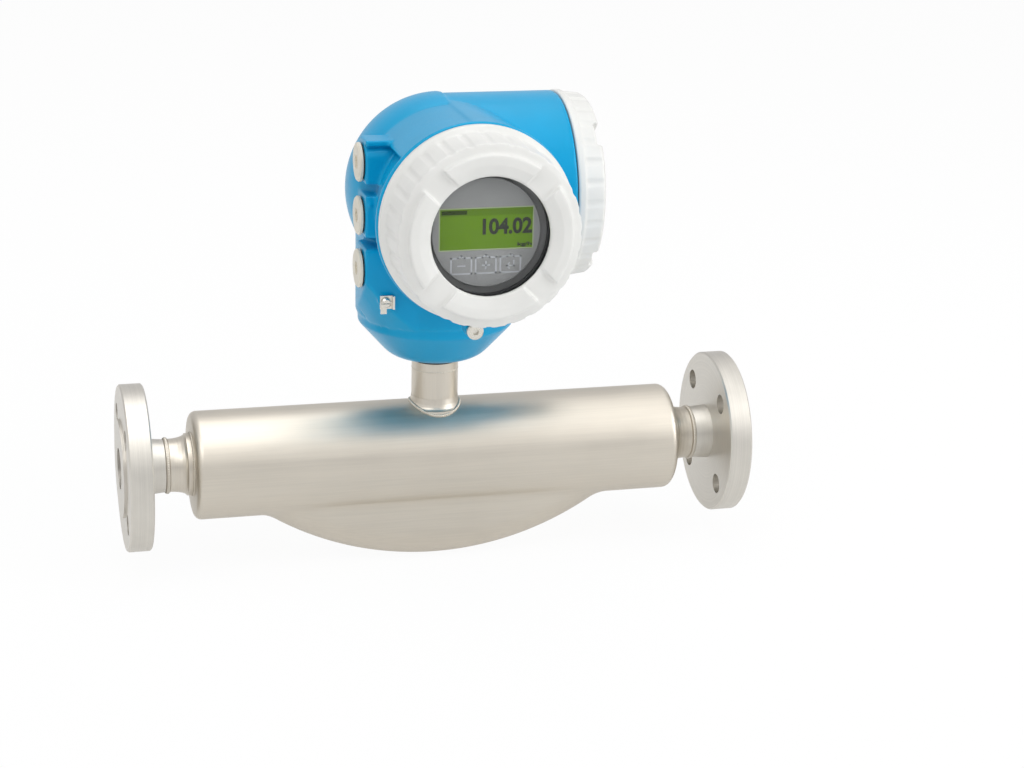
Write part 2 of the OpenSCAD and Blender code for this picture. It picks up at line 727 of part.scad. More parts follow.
// Blanking plug of a cable entry, with its head to the left.
module entry_plug(i) color(beige)
    translate([entry_x - entry_seal_t - 2 * fixed_gap, -entry_y, entry_z + i * entry_pitch])
        along_x() difference() {
            shank_r = entry_d / 2 - run_gap;
            turned([[0, -plug_t], [plug_d / 2 - edge, -plug_t], [plug_d / 2, -plug_t + edge],
                    [plug_d / 2, 0], [shank_r, 0], [shank_r, plug_shank_l - edge],
                    [shank_r - edge, plug_shank_l], [0, plug_shank_l]]);
            translate([0, 0, -plug_t - eps]) cylinder(d = 10, h = plug_t, $fn = 6);
        }
module entry_plug_upper() entry_plug(1);
module entry_plug_middle() entry_plug(0);
module entry_plug_lower() entry_plug(-1);
module entry_seals() color(black) for (i = [-1 : 1])
    translate([entry_x - fixed_gap - entry_seal_t, -entry_y, entry_z + i * entry_pitch]) along_x()
        ring(entry_d / 2 + fixed_gap, plug_d / 2 - 1.5 * edge, 0, entry_seal_t);

// Bent strap of the ground terminal and its screw.
strap_t = 1.4;
strap_z = ground_pad_t + fixed_gap;
module ground_clamp() color(bright_steel) ground_frame() translate([0, 0, strap_z]) difference() {
    union() {
        translate([-4, -4.5, 0]) cube([9.5, 9, strap_t]);
        translate([5.5 - strap_t, -4.5, 0]) cube([strap_t, 9, 4]);
        translate([-3.5, -8, 0]) cube([4, 4, strap_t]);
    }
    translate([0, 0, -eps]) cylinder(r = ground_screw_r + run_gap, h = 2 * strap_t);
}
module ground_screw() color(bright_steel) ground_frame() difference() {
    seat = strap_z + strap_t + fixed_gap;
    turned([[0, -6], [ground_screw_r, -6], [ground_screw_r, seat], [3.4, seat], [3.4, seat + 1.6],
            [2.4, seat + 2.4], [0, seat + 2.4]]);
    translate([-5, -0.6, seat + 1.4]) cube([10, 1.2, 2]);
}

// Lock screw of a cover, made along Z with its head above z = 0.
module lock_screw() translate([0, lock_y, 0]) difference() {
    head_r = lock_r - edge_break;
    turned([[0, 2 - lock_thread_l], [lock_screw_r, 2 - lock_thread_l], [lock_screw_r, fixed_gap],
            [head_r, fixed_gap], [head_r, 2.5], [head_r - edge, 3.5], [0, 3.5]]);
    translate([0, 0, 1.5]) cylinder(d = 4.6, h = 3, $fn = 6);
}
module display_cover_lock() color(bright_steel) on_front() lock_screw();
module connection_cover_lock() color(bright_steel) on_side() rotate(45) lock_screw();

// ---------------------------------------------------------------- electronics and terminals

carrier_r = min(electronics_bore_d / 2, collar_r - collar_wall) - run_gap;
carrier_wall = 2;
carrier_lid_t = 3;
carrier_front = front_reach - 6;
carrier_back = partition_y + partition_t + run_gap;
module electronics_carrier() color(black) translate([barrel_x, 0, barrel_z]) to_front() difference() {
    hole_r = display_pin_d / 2 + run_gap;
    wall_r = carrier_r - carrier_wall;
    turned([[hole_r, carrier_front - carrier_lid_t], [wall_r, carrier_front - carrier_lid_t],
            [wall_r, carrier_back], [carrier_r, carrier_back], [carrier_r, carrier_front],
            [hole_r, carrier_front]]);
    for (a = [45 : 90 : 315]) rotate(a) translate([carrier_r - 12, 0, carrier_front - carrier_lid_t - 1])
        cylinder(d = 8, h = carrier_lid_t + 2);
}

// Round circuit board at the given distance in front of the neck axis. Each of its larger
// components is [x, y, width, height, depth], as shares of the board's radius.
board_t = 1.6;
board_r = carrier_r - carrier_wall - fixed_gap;
module board(y, parts) color(board_green) translate([barrel_x, 0, barrel_z]) to_front() {
    translate([0, 0, y]) cylinder(r = board_r, h = board_t);
    for (p = parts)
        translate([board_r * (p[0] - p[2] / 2), board_r * (p[1] - p[3] / 2), y + board_t - eps])
            cube(board_r * [p[2], p[3], p[4]]);
}
main_board_y = carrier_back + 0.55 * (carrier_front - carrier_back);
power_board_y = carrier_back + 0.12 * (carrier_front - carrier_back);
module main_board() board(main_board_y,
    [[0, 0, 0.42, 0.42, 0.06], [-0.55, 0.2, 0.25, 0.38, 0.08], [0.5, -0.25, 0.3, 0.2, 0.1],
     [0.1, 0.65, 0.55, 0.16, 0.14]]);
module power_board() board(power_board_y,
    [[-0.25, 0, 0.46, 0.38, 0.3], [0.42, 0.3, 0.3, 0.3, 0.25], [0.38, -0.42, 0.34, 0.2, 0.18]]);

plate_t = 4;
plate_x = barrel_x + 14;
module terminal_plate() color(black) intersection() {
    translate([plate_x, barrel_y, barrel_z]) along_x()
        cylinder(r = cover_bore_r - fixed_gap, h = plate_t);
    half_space_y(-partition_y + fixed_gap, 1);
}

// Row of stepped clamps with one wire mouth and one screw shaft for each.
terminal_pitch = 7.5;
terminal_count = 8;
terminal_row = terminal_pitch * terminal_count;
terminal_step = 14;
shaft_d = 5;
shaft_depth = 5;
module on_plate() translate([plate_x + plate_t + fixed_gap, barrel_y, barrel_z]) children();
module at_terminals() for (i = [0 : terminal_count - 1])
    translate([terminal_step - shaft_depth, (i + 0.5) * terminal_pitch - terminal_row / 2, 0]) children();
module terminal_block() color(terminal_green) on_plate() difference() {
    union() {
        translate([0, -terminal_row / 2, -terminal_step])
            cube([terminal_step, terminal_row, 2 * terminal_step]);
        translate([0, -terminal_row / 2, -terminal_step / 2])
            cube([terminal_step + 6, terminal_row, terminal_step]);
    }
    at_terminals() {
        translate([0, 0, 0.75 * terminal_step]) along_x() cylinder(d = shaft_d, h = shaft_depth + 1);
        translate([0, -2.2, -0.93 * terminal_step]) cube([shaft_depth + 1, 4.4, 4.5]);
    }
}
module terminal_screws() color(bright_steel) on_plate() at_terminals()
    translate([fixed_gap, 0, 0.75 * terminal_step]) along_x() difference() {
        cylinder(d = shaft_d - 2 * fixed_gap, h = shaft_depth - 1);
        translate([-shaft_d / 2, -0.4, shaft_depth - 2]) cube([shaft_d, 0.8, 2]);
    }

// ---------------------------------------------------------------- display module

// Everything here is made along Z from the front rim, with Z to the front.
fascia_z = display_cover_h - face_depth;
step_z = fascia_z - 4;
holder_back = -4;
panel_t = 2;
panel_rise = 2.5;
pin_l = 5;
module display_holder() color(fascia_grey) on_front() difference() {
    union() {
        body_r = display_d / 2;
        face_r = window_d / 2 - 3;
        turned([[0, holder_back], [body_r - 2, holder_back], [body_r - 2, 8], [body_r, 8],
                [body_r, step_z - edge], [body_r - edge, step_z], [face_r, step_z],
                [face_r, fascia_z - edge_break], [face_r - edge_break, fascia_z], [0, fascia_z]]);
        translate([0, 0, holder_back - pin_l]) cylinder(d = display_pin_d, h = pin_l + eps);
    }
    translate([-panel_w / 2 - fixed_gap, -panel_h / 2 - fixed_gap + panel_rise, fascia_z - panel_t])
        cube([panel_w + 2 * fixed_gap, panel_h + 2 * fixed_gap, panel_t + 1]);
}
module display_panel() color(display_green) on_front()
    translate([-panel_w / 2, -panel_h / 2 + panel_rise, fascia_z - panel_t + fixed_gap])
        cube([panel_w, panel_h, panel_t - 2 * fixed_gap]);

// ---------------------------------------------------------------- covers

// Cover along Z: an outline, less the grip flutes along its cone and the four tool recesses.
// The cone runs from foot = [radius, height] to top.
module cover_body(outline, foot, top, recess_r) difference() {
    turned(outline);
    for (i = [0 : flute_count - 1]) rotate(i * 360 / flute_count)
        translate([foot[0] + flute_r - flute_depth, 0, foot[1]])
            rotate([0, -atan((foot[0] - top[0]) / (top[1] - foot[1])), 0])
                cylinder(r = flute_r, h = top[1] - foot[1] + 10, $fn = 32);
    for (a = [45 : 90 : 315]) rotate(a) translate([recess_r, -recess_w / 2, top[1] - recess_depth])
        cube([cover_d / 2, recess_w, recess_depth + 10]);
}

// Back part of a cover's outline: the collar and the smooth band, from the inside outwards.
cover_back = [
    [collar_r - collar_wall, -collar_l], [collar_r, -collar_l], [collar_r, run_gap],
    [cover_d / 2 - edge_break, run_gap], [cover_d / 2, run_gap + edge_break], [cover_d / 2, band_h]
];
display_cone_foot = [cone_foot_d / 2, band_h + 3];
display_cone_top = [cone_top_d / 2, display_cover_h - 5];
window_pocket_r = window_d / 2 + 4.5;
window_seat_z = display_cover_h - 6;
gasket_t = 0.8;
glass_top = window_seat_z - gasket_t - fixed_gap;
glass_low = glass_top - window_t;
window_bevel_h = 3;
ring_h = 4;
ring_low = glass_low - ring_h;
module display_cover() color(light_grey) on_front() cover_body(
    concat(cover_back, [
        display_cone_foot, display_cone_top,
        [front_ring_d / 2 + edge_break, display_cone_top[1] + 1.5],
        [front_ring_d / 2, display_cone_top[1] + 2.5],
        [front_ring_d / 2, display_cover_h - edge], [front_ring_d / 2 - edge, display_cover_h],
        [window_d / 2 + 8, display_cover_h - edge_break],
        [window_d / 2 + 1, display_cover_h - window_bevel_h],
        [window_d / 2, display_cover_h - window_bevel_h - edge], [window_d / 2, window_seat_z],
        [window_pocket_r, window_seat_z], [window_pocket_r, ring_low - fixed_gap],
        [collar_r - collar_wall, ring_low - fixed_gap]
    ]),
    display_cone_foot, [display_cone_top[0], display_cover_h], window_d / 2 - 2);
module display_window() color(glass_tint) on_front()
    translate([0, 0, glass_low]) cylinder(r = window_pocket_r - run_gap, h = window_t);
module window_gasket() color(black) on_front()
    ring(window_d / 2 + run_gap, window_pocket_r - run_gap,
         glass_top + fixed_gap / 2, window_seat_z - fixed_gap / 2);
module window_ring() color(black) on_front()
    ring(window_d / 2 + edge_break, window_pocket_r - fixed_gap, ring_low, glass_low - fixed_gap);

blind_cone_foot = [cover_d / 2 - edge, band_h + 1];
blind_cone_top = [cover_d / 2 - 2.5, blind_cover_h - 2];
module connection_cover() color(light_grey) on_side() cover_body(
    concat([[0, blind_cover_h - 7], [collar_r - collar_wall, blind_cover_h - 9]], cover_back, [
        blind_cone_foot, blind_cone_top, [blind_cone_top[0] - 2, blind_cover_h],
        [front_ring_d / 2 - 8, blind_cover_h], [front_ring_d / 2 - 10, blind_cover_h - 2],
        [0, blind_cover_h - 2]
    ]),
    blind_cone_foot, [blind_cone_top[0], blind_cover_h], front_ring_d / 2 - 7);

// Seals of the covers: they sit round the collars and travel out with them.
module cover_seal() rotate_extrude()
    translate([seal_r, run_gap - seal_section / 2 - fixed_gap]) circle(d = seal_section, $fn = 32);
module display_cover_seal() color(black) on_front() cover_seal();
module connection_cover_seal() color(black) on_side() cover_seal();

// ---------------------------------------------------------------- nodes

inlet_flange();
outlet_flange();
inlet_manifold();
outlet_manifold();
measuring_tube_front();
measuring_tube_rear();
inlet_brace_plates();
outlet_brace_plates();
drive_coil();
drive_magnet();
inlet_pickoff_coil();
inlet_pickoff_magnet();
outlet_pickoff_coil();
outlet_pickoff_magnet();
temperature_sensor();
sensor_harness();
casing_tube();
casing_belly();
inlet_end_cap();
outlet_end_cap();
neck_tube();
neck_weld_collar();
feedthrough();
neck_head();
neck_seal();
housing();
swivel_lock_screw();
entry_plug_upper();
entry_plug_middle();
entry_plug_lower();
entry_seals();
ground_clamp();
ground_screw();
display_cover_lock();
connection_cover_lock();
electronics_carrier();
main_board();
power_board();
terminal_plate();
terminal_block();
terminal_screws();
display_holder();
display_panel();
display_cover_seal();
display_cover();
display_window();
window_gasket();
window_ring();
connection_cover_seal();
connection_cover();
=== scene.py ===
"""Coriolis flow meter: finishes, cast and welded surfaces, display, studio light and camera.

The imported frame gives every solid. The classes below hold one sub-assembly each: they build
the meshes that the solids are too plain for and dress everything in procedural finishes.
Lengths are in metres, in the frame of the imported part.
"""

from __future__ import annotations

import json
import logging
import math
from collections.abc import Iterable, Sequence
from dataclasses import dataclass, field
from enum import Enum
from typing import Any, ClassVar

import bmesh
import bpy
import numpy as np
from mathutils import Matrix, Vector

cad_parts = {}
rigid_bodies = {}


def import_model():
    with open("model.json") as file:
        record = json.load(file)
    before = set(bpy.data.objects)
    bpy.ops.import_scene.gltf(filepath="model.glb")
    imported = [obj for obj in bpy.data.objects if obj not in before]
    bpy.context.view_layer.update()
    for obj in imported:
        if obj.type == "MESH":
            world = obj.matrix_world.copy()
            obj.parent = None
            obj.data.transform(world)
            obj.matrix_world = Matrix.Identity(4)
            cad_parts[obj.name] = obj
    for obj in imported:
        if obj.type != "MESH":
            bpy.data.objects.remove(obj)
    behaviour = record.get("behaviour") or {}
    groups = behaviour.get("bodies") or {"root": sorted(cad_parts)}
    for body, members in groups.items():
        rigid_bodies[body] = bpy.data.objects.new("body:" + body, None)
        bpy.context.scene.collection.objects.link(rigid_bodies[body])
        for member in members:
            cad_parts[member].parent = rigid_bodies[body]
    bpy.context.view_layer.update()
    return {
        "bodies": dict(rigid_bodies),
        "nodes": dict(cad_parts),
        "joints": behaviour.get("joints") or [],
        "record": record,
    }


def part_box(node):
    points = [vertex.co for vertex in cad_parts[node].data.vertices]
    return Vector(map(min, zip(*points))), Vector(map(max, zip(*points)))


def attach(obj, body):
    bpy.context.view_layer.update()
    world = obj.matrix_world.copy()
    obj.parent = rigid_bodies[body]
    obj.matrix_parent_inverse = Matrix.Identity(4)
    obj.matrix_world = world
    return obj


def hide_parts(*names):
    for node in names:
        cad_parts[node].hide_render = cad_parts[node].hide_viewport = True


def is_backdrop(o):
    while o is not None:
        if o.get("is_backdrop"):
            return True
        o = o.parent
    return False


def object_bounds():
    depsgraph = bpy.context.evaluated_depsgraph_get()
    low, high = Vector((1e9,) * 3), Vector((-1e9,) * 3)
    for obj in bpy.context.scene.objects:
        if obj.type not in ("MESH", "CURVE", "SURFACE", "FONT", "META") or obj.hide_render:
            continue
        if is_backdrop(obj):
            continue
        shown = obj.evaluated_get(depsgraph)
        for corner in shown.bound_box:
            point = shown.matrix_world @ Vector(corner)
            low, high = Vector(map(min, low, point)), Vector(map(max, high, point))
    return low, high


log = logging.getLogger("flow_meter")

MM = 0.001
Colour = tuple[float, float, float]
Point = tuple[float, float, float]


def srgb(red: int, green: int, blue: int) -> Colour:
    """Turns a colour of 0 to 255 as a screen shows it into linear light.

    Args:
        red: Red, 0 to 255.
        green: Green, 0 to 255.
        blue: Blue, 0 to 255.

    Returns:
        The colour in linear light.
    """

    def linear(level: int) -> float:
        """Returns one channel's share of linear light."""
        share = level / 255.0
        return share / 12.92 if share <= 0.04045 else ((share + 0.055) / 1.055) ** 2.4

    return (linear(red), linear(green), linear(blue))


# ------------------------------------------------------------------ shader maths


class Value:
    """A shader socket that takes part in sums, so that maths reads as it is written."""

    def __init__(self, graph: Graph, socket: bpy.types.NodeSocket) -> None:
        """Keeps the socket and the graph that new nodes go into."""
        self.graph = graph
        self.socket = socket

    def math(self, operation: str, *terms: Value | float, clamp: bool = False) -> Value:
        """Adds one Math node with this value as its first term.

        Args:
            operation: The Math node's operation.
            terms: The further terms, values or numbers.
            clamp: Whether the result is kept between 0 and 1.

        Returns:
            The result.
        """
        sockets = dict(enumerate((self, *terms)))
        made = self.graph.node("ShaderNodeMath", sockets, operation=operation, use_clamp=clamp)
        return self.graph.value(made)

    def __add__(self, other: Value | float) -> Value:
        """Returns the sum."""
        return self.math("ADD", other)

    __radd__ = __add__

    def __sub__(self, other: Value | float) -> Value:
        """Returns the difference."""
        return self.math("SUBTRACT", other)

    def __rsub__(self, other: float) -> Value:
        """Returns a number less this value."""
        return self.math("MULTIPLY_ADD", -1.0, other)

    def __mul__(self, other: Value | float) -> Value:
        """Returns the product."""
        return self.math("MULTIPLY", other)

    def __truediv__(self, other: Value | float) -> Value:
        """Returns the quotient."""
        return self.math("DIVIDE", other)

    def __pow__(self, other: float) -> Value:
        """Returns this value raised to a power."""
        return self.math("POWER", other)

    def __neg__(self) -> Value:
        """Returns the value with its sign turned."""
        return self.math("MULTIPLY", -1.0)

    def size(self) -> Value:
        """Returns the value without its sign."""
        return self.math("ABSOLUTE")

    def clamped(self) -> Value:
        """Returns the value kept between 0 and 1."""
        return self.math("ADD", 0.0, clamp=True)

    def above(self, level: float) -> Value:
        """Returns 1 where the value is over a level and 0 elsewhere."""
        return self.math("GREATER_THAN", level)

    def largest(self, other: Value | float) -> Value:
        """Returns the larger of two values."""
        return self.math("MAXIMUM", other)

    def ease(self, low: float, high: float) -> Value:
        """Returns a share that goes from 0 at low to 1 at high.

        Args:
            low: Value at which the share is 0.
            high: Value at which it is 1.

        Returns:
            The share.
        """
        sockets = {"Value": self, "From Min": low, "From Max": high}
        made = self.graph.node("ShaderNodeMapRange", sockets, interpolation_type="SMOOTHSTEP")
        return self.graph.value(made)


class Nodes:
    """A node tree while it is put together."""

    tree: bpy.types.NodeTree

    def node(
        self, kind: str, sockets: dict[str | int, Any] | None = None, **settings: Any
    ) -> bpy.types.Node:
        """Adds a node, sets its properties and then its inputs.

        Args:
            kind: The node's type.
            sockets: For its inputs, by name or place: values, sockets, nodes whose first
                output is meant, or numbers.
            settings: Its properties.

        Returns:
            The node.
        """
        made = self.tree.nodes.new(kind)
        for name, setting in settings.items():
            setattr(made, name, setting)
        for name, given in (sockets or {}).items():
            target = made.inputs[name]
            if isinstance(given, Value):
                given = given.socket
            elif isinstance(given, bpy.types.Node):
                given = given.outputs[0]
            if isinstance(given, bpy.types.NodeSocket):
                self.tree.links.new(given, target)
            else:
                target.default_value = (*given, 1.0) if target.type == "RGBA" else given
        return made


class Graph(Nodes):
    """The shader tree of one material or world."""

    def __init__(self, owner: bpy.types.Material | bpy.types.World) -> None:
        """Starts an empty tree on a material or a world.

        Args:
            owner: The material or world.
        """
        owner.use_nodes = True
        self.tree = owner.node_tree
        self.tree.nodes.clear()

    def value(self, node: bpy.types.Node, output: str | int = 0) -> Value:
        """Wraps one of a node's outputs."""
        return Value(self, node.outputs[output])

    def place(self) -> Value:
        """Returns the point on the piece, in the part's own frame."""
        return self.value(self.node("ShaderNodeTexCoord"), "Object")

    def axes(self, vector: Value) -> tuple[Value, Value, Value]:
        """Takes a vector apart into its three values."""
        parts = self.node("ShaderNodeSeparateXYZ", {0: vector})
        return tuple(self.value(parts, index) for index in range(3))

    def vector(self, x: Value | float, y: Value | float, z: Value | float) -> Value:
        """Puts three values together."""
        return self.value(self.node("ShaderNodeCombineXYZ", {0: x, 1: y, 2: z}))

    def stretched(self, vector: Value, scale: Point) -> Value:
        """Returns the vector with each axis scaled by itself."""
        made = self.node("ShaderNodeVectorMath", {0: vector, 1: scale}, operation="MULTIPLY")
        return self.value(made)

    def noise(self, vector: Value, scale: float, detail: float = 2.0, rough: float = 0.5) -> Value:
        """Returns soft noise of about 0 to 1, with scale features a metre and detail octaves."""
        sockets = {"Vector": vector, "Scale": scale, "Detail": detail, "Roughness": rough}
        return self.value(self.node("ShaderNodeTexNoise", sockets, noise_dimensions="3D"))

    def blend(self, share: Value, low: Value | Colour, high: Value | Colour) -> Value:
        """Returns the colour between low and high at a share of 0 to 1.

        Args:
            share: 0 for low and 1 for high.
            low: The first colour.
            high: The second colour.

        Returns:
            The colour.
        """
        sockets = {0: share, 6: low, 7: high}
        made = self.node("ShaderNodeMix", sockets, data_type="RGBA", clamp_factor=True)
        return self.value(made, 2)

    def bump(self, height: Value, depth: float, strength: float = 1.0) -> Value:
        """Returns the normal of a surface with a height of 0 to 1 that is depth metres in all."""
        sockets = {"Height": height, "Distance": depth, "Strength": strength}
        return self.value(self.node("ShaderNodeBump", sockets))

    def surface(self, **sockets: Any) -> None:
        """Ends the tree in one Principled shader with the given sockets.

        Args:
            sockets: The shader's inputs, with underscores in their names.
        """
        named = {
            name.replace("_", " ").title().replace("Ior", "IOR"): given
            for name, given in sockets.items()
        }
        self.finish(self.node("ShaderNodeBsdfPrincipled", named))

    def mixed(self, share: Value, low: bpy.types.Node, high: bpy.types.Node) -> bpy.types.Node:
        """Returns the shader between low and high at a share of 0 to 1."""
        return self.node("ShaderNodeMixShader", {0: share, 1: low, 2: high})

    def finish(self, shader: bpy.types.Node, kind: str = "Material") -> None:
        """Links a shader to the output of a material or, by its kind, of a world."""
        self.node(f"ShaderNodeOutput{kind}", {"Surface": shader})


# ------------------------------------------------------------------ finishes


def shade(colour: Colour, factor: float) -> Colour:
    """Returns the colour made lighter or darker."""
    return tuple(min(1.0, channel * factor) for channel in colour)


@dataclass(frozen=True)
class Finish:
    """A surface finish: its name, record slot, colour and gloss."""

    label: str
    slot: str
    colour: Colour
    roughness: float = 0.5

    made: ClassVar[dict[str, bpy.types.Material]] = {}

    def material(self) -> bpy.types.Material:
        """Returns the finish as a material, made once.

        Returns:
            The material.
        """
        if self.label not in Finish.made:
            block = bpy.data.materials.new(self.label)
            block.diffuse_color = (*self.colour, 1.0)
            Finish.made[self.label] = block
            graph = Graph(block)
            self.compose(graph, graph.place())
        return Finish.made[self.label]

    def compose(self, graph: Graph, place: Value) -> None:
        """Builds the node tree from the point on the piece; each kind of finish has its own."""
        raise NotImplementedError

    def toned(self, graph: Graph, share: Value, low: float, high: float) -> Value:
        """Returns the colour, made lighter or darker by low and high at a share of 0 and 1."""
        return graph.blend(share, shade(self.colour, low), shade(self.colour, high))

    def mottled(self, graph: Graph, place: Value, scale: float, amount: float) -> Value:
        """Returns the colour, up and down by an amount in soft patches, scale of them a metre."""
        patches = graph.noise(place, scale, 3.0)
        return self.toned(graph, patches.ease(0.3, 0.7), 1 - amount, 1 + amount)


class Axis(Enum):
    """Direction that a grain or a turning axis follows."""

    X = 0
    Y = 1
    Z = 2


@dataclass(frozen=True)
class SatinSteel(Finish):
    """Stainless steel with a satin grain along one axis."""

    grain: Axis = Axis.X
    fineness: float = 900.0

    def compose(self, graph: Graph, place: Value) -> None:
        """Builds streaks along the grain, fine blasting marks and large soft patches.

        Args:
            graph: The material's tree.
            place: The point on the piece.
        """
        scale = [1.0, 1.0, 1.0]
        scale[self.grain.value] = 0.02
        streaks = graph.noise(graph.stretched(place, tuple(scale)), self.fineness, 2.0)
        grit = graph.noise(place, 2600.0, 1.0)
        patches = graph.noise(place, 22.0, 3.0)
        tone = (streaks * 0.6 + patches * 0.4).ease(0.3, 0.7)
        graph.surface(
            base_color=self.toned(graph, tone, 0.96, 1.03),
            metallic=1.0,
            roughness=self.roughness + streaks * 0.08 + (patches - 0.5) * 0.1,
            normal=graph.bump(streaks * 0.4 + grit * 0.6, 0.00003, 0.4),
        )


@dataclass(frozen=True)
class TurnedSteel(Finish):
    """Steel turned on a lathe, with fine rings about an axis."""

    axis: Axis = Axis.X
    centre: Point = (0.0, 0.0, 0.0)

    def compose(self, graph: Graph, place: Value) -> None:
        """Builds rings on faces and lines round rims from the distance to the axis.

        Args:
            graph: The material's tree.
            place: The point on the piece.
        """
        parts = graph.axes(place)
        along = parts[self.axis.value]
        across = [
            (part - self.centre[index]) ** 2
            for index, part in enumerate(parts)
            if index != self.axis.value
        ]
        radius = (across[0] + across[1]) ** 0.5
        rings = graph.noise(graph.vector(radius, along, 0.0), 1900.0, 2.0, 0.6)
        worn = graph.noise(place, 60.0, 4.0, 0.6)
        tone = (rings * 0.7 + worn * 0.3).ease(0.3, 0.7)
        graph.surface(
            base_color=self.toned(graph, tone, 0.92, 1.05),
            metallic=1.0,
            roughness=self.roughness + rings * 0.1 + (worn - 0.5) * 0.12,
            normal=graph.bump(rings, 0.00005, 0.45),
        )


@dataclass(frozen=True)
class PowderCoat(Finish):
    """Baked powder coat on a die casting."""

    peel: float = 0.35
    gloss: float = 0.3
    shine: float = 0.5
    tint: Colour = (1.0, 1.0, 1.0)

    def compose(self, graph: Graph, place: Value) -> None:
        """Builds the fine orange peel of the coat and a faint unevenness of its colour.

        Args:
            graph: The material's tree.
            place: The point on the piece.
        """
        peel = graph.noise(place, 620.0, 2.0, 0.45)
        fine = graph.noise(place, 2100.0, 1.0)
        graph.surface(
            base_color=self.mottled(graph, place, 35.0, 0.025),
            roughness=self.roughness + (peel - 0.5) * 0.1,
            specular_ior_level=self.shine,
            specular_tint=self.tint,
            coat_weight=self.gloss,
            coat_roughness=0.2,
            normal=graph.bump(peel * 0.8 + fine * 0.2, 0.0001, self.peel),
        )


@dataclass(frozen=True)
class MouldedPlastic(Finish):
    """Moulded plastic with the fine texture of its mould."""

    def compose(self, graph: Graph, place: Value) -> None:
        """Builds mould texture and flow marks.

        Args:
            graph: The material's tree.
            place: The point on the piece.
        """
        grain = graph.noise(place, 1500.0, 2.0)
        flow = graph.noise(graph.stretched(place, (1.0, 1.0, 0.25)), 90.0, 2.0)
        graph.surface(
            base_color=self.mottled(graph, place, 60.0, 0.04),
            roughness=self.roughness + (flow - 0.5) * 0.12,
            normal=graph.bump(grain, 0.00006, 0.35),
        )


@dataclass(frozen=True)
class SoftRubber(Finish):
    """Black sealing rubber with a dull bloom."""

    def compose(self, graph: Graph, place: Value) -> None:
        """Builds the bloom and the matt skin.

        Args:
            graph: The material's tree.
            place: The point on the piece.
        """
        bloom = graph.noise(place, 240.0, 4.0, 0.65)
        graph.surface(
            base_color=self.toned(graph, bloom.ease(0.45, 0.8), 1.0, 2.2),
            roughness=self.roughness + (bloom - 0.5) * 0.2,
            normal=graph.bump(bloom, 0.00008, 0.4),
        )


@dataclass(frozen=True)
class EnamelledWire(Finish):
    """Copper winding with its turns showing as ridges."""

    turns: float = 2600.0

    def compose(self, graph: Graph, place: Value) -> None:
        """Builds one ridge for each turn along Y, with painted shade darkening the grooves between
        turns.

        Args:
            graph: The material's tree.
            place: The point on the piece.
        """
        ridge = (graph.axes(place)[1] * self.turns * math.tau).math("SINE") * 0.5 + 0.5
        graph.surface(
            # painted shade: the copper's colour falls to 0.55 in the grooves between turns
            base_color=self.toned(graph, ridge, 0.55, 1.0),
            metallic=0.9,
            roughness=self.roughness + ridge * 0.1,
            normal=graph.bump(ridge, 0.0002, 0.8),
        )


@dataclass(frozen=True)
class CircuitBoard(Finish):
    """Solder mask over copper tracks."""

    def compose(self, graph: Graph, place: Value) -> None:
        """Builds straight tracks of a lighter green under the mask.

        Args:
            graph: The material's tree.
            place: The point on the piece.
        """
        x, _, z = graph.axes(place)
        column = graph.noise(graph.vector(x * 3.0, 0.0, z * 0.2), 260.0, 0.0)
        row = graph.noise(graph.vector(x * 0.2, 0.5, z * 3.0), 260.0, 0.0)
        tracks = column.ease(0.52, 0.56).largest(row.ease(0.55, 0.59))
        graph.surface(
            base_color=self.toned(graph, tracks, 1.0, 1.7),
            roughness=self.roughness + tracks * 0.1,
            normal=graph.bump(tracks, 0.00003, 0.5),
        )


@dataclass(frozen=True)
class LiquidCrystal(Finish):
    """Backlit liquid-crystal panel: pale frame, darker header line and a plain title bar."""

    centre: Point = (0.0, 0.0, 0.0)
    half: tuple[float, float] = (0.03, 0.014)
    frame_w: float = 0.7 * MM
    header_h: float = 5.2 * MM
    title_w: float = 16.5 * MM
    title_h: float = 2.6 * MM
    title_inset: float = 1.6 * MM
    frame_colour: Colour = srgb(170, 184, 146)

    def compose(self, graph: Graph, place: Value) -> None:
        """Builds the glow, the dot mesh, the header line, the title bar and the frame.

        Args:
            graph: The material's tree.
            place: The point on the piece.
        """
        x, _, z = graph.axes(place)
        side = (x - self.centre[0]).size()
        rise = z - self.centre[2]
        frame = side.above(self.half[0] - self.frame_w).largest(
            rise.size().above(self.half[1] - self.frame_w)
        )
        header = rise.above(self.half[1] - self.header_h)
        bar_x = self.centre[0] - self.half[0] + self.title_inset + self.title_w / 2
        bar_z = self.half[1] - self.title_inset - self.title_h / 2
        beyond_bar = (x - bar_x).size().above(self.title_w / 2).largest(
            (rise - bar_z).size().above(self.title_h / 2)
        )
        mesh = graph.noise(graph.vector(x, 0.0, z), 2400.0, 0.0).ease(0.4, 0.7)
        glow = (rise / self.half[1] * 0.5 + 0.5).clamped()
        lit = self.toned(graph, glow * 0.5 + mesh * 0.2, 1.0, 1.22)
        lit = graph.blend(header * 0.4, lit, shade(self.colour, 0.5))
        lit = graph.blend((1.0 - beyond_bar) * 0.85, lit, shade(self.colour, 0.08))
        colour = graph.blend(frame, lit, self.frame_colour)
        graph.surface(
            base_color=colour,
            roughness=self.roughness + mesh * 0.05,
            specular_ior_level=0.15,
            emission_color=colour,
            emission_strength=0.06,
        )


@dataclass(frozen=True)
class ClearGlass(Finish):
    """Toughened window glass, nearly clear with a bright glancing reflection."""

    mirror: float = 0.25

    def compose(self, graph: Graph, place: Value) -> None:
        """Builds transparency that gives way to gloss at a glancing angle.

        Args:
            graph: The material's tree.
            place: The point on the piece.
        """
        smear = graph.noise(place, 45.0, 3.0)
        glance = graph.value(graph.node("ShaderNodeFresnel", {"IOR": 1.5}))
        graph.surface(
            base_color=self.colour,
            metallic=1.0,
            roughness=self.roughness + smear * 0.03,
            alpha=(glance * self.mirror + smear * 0.008).clamped(),
        )


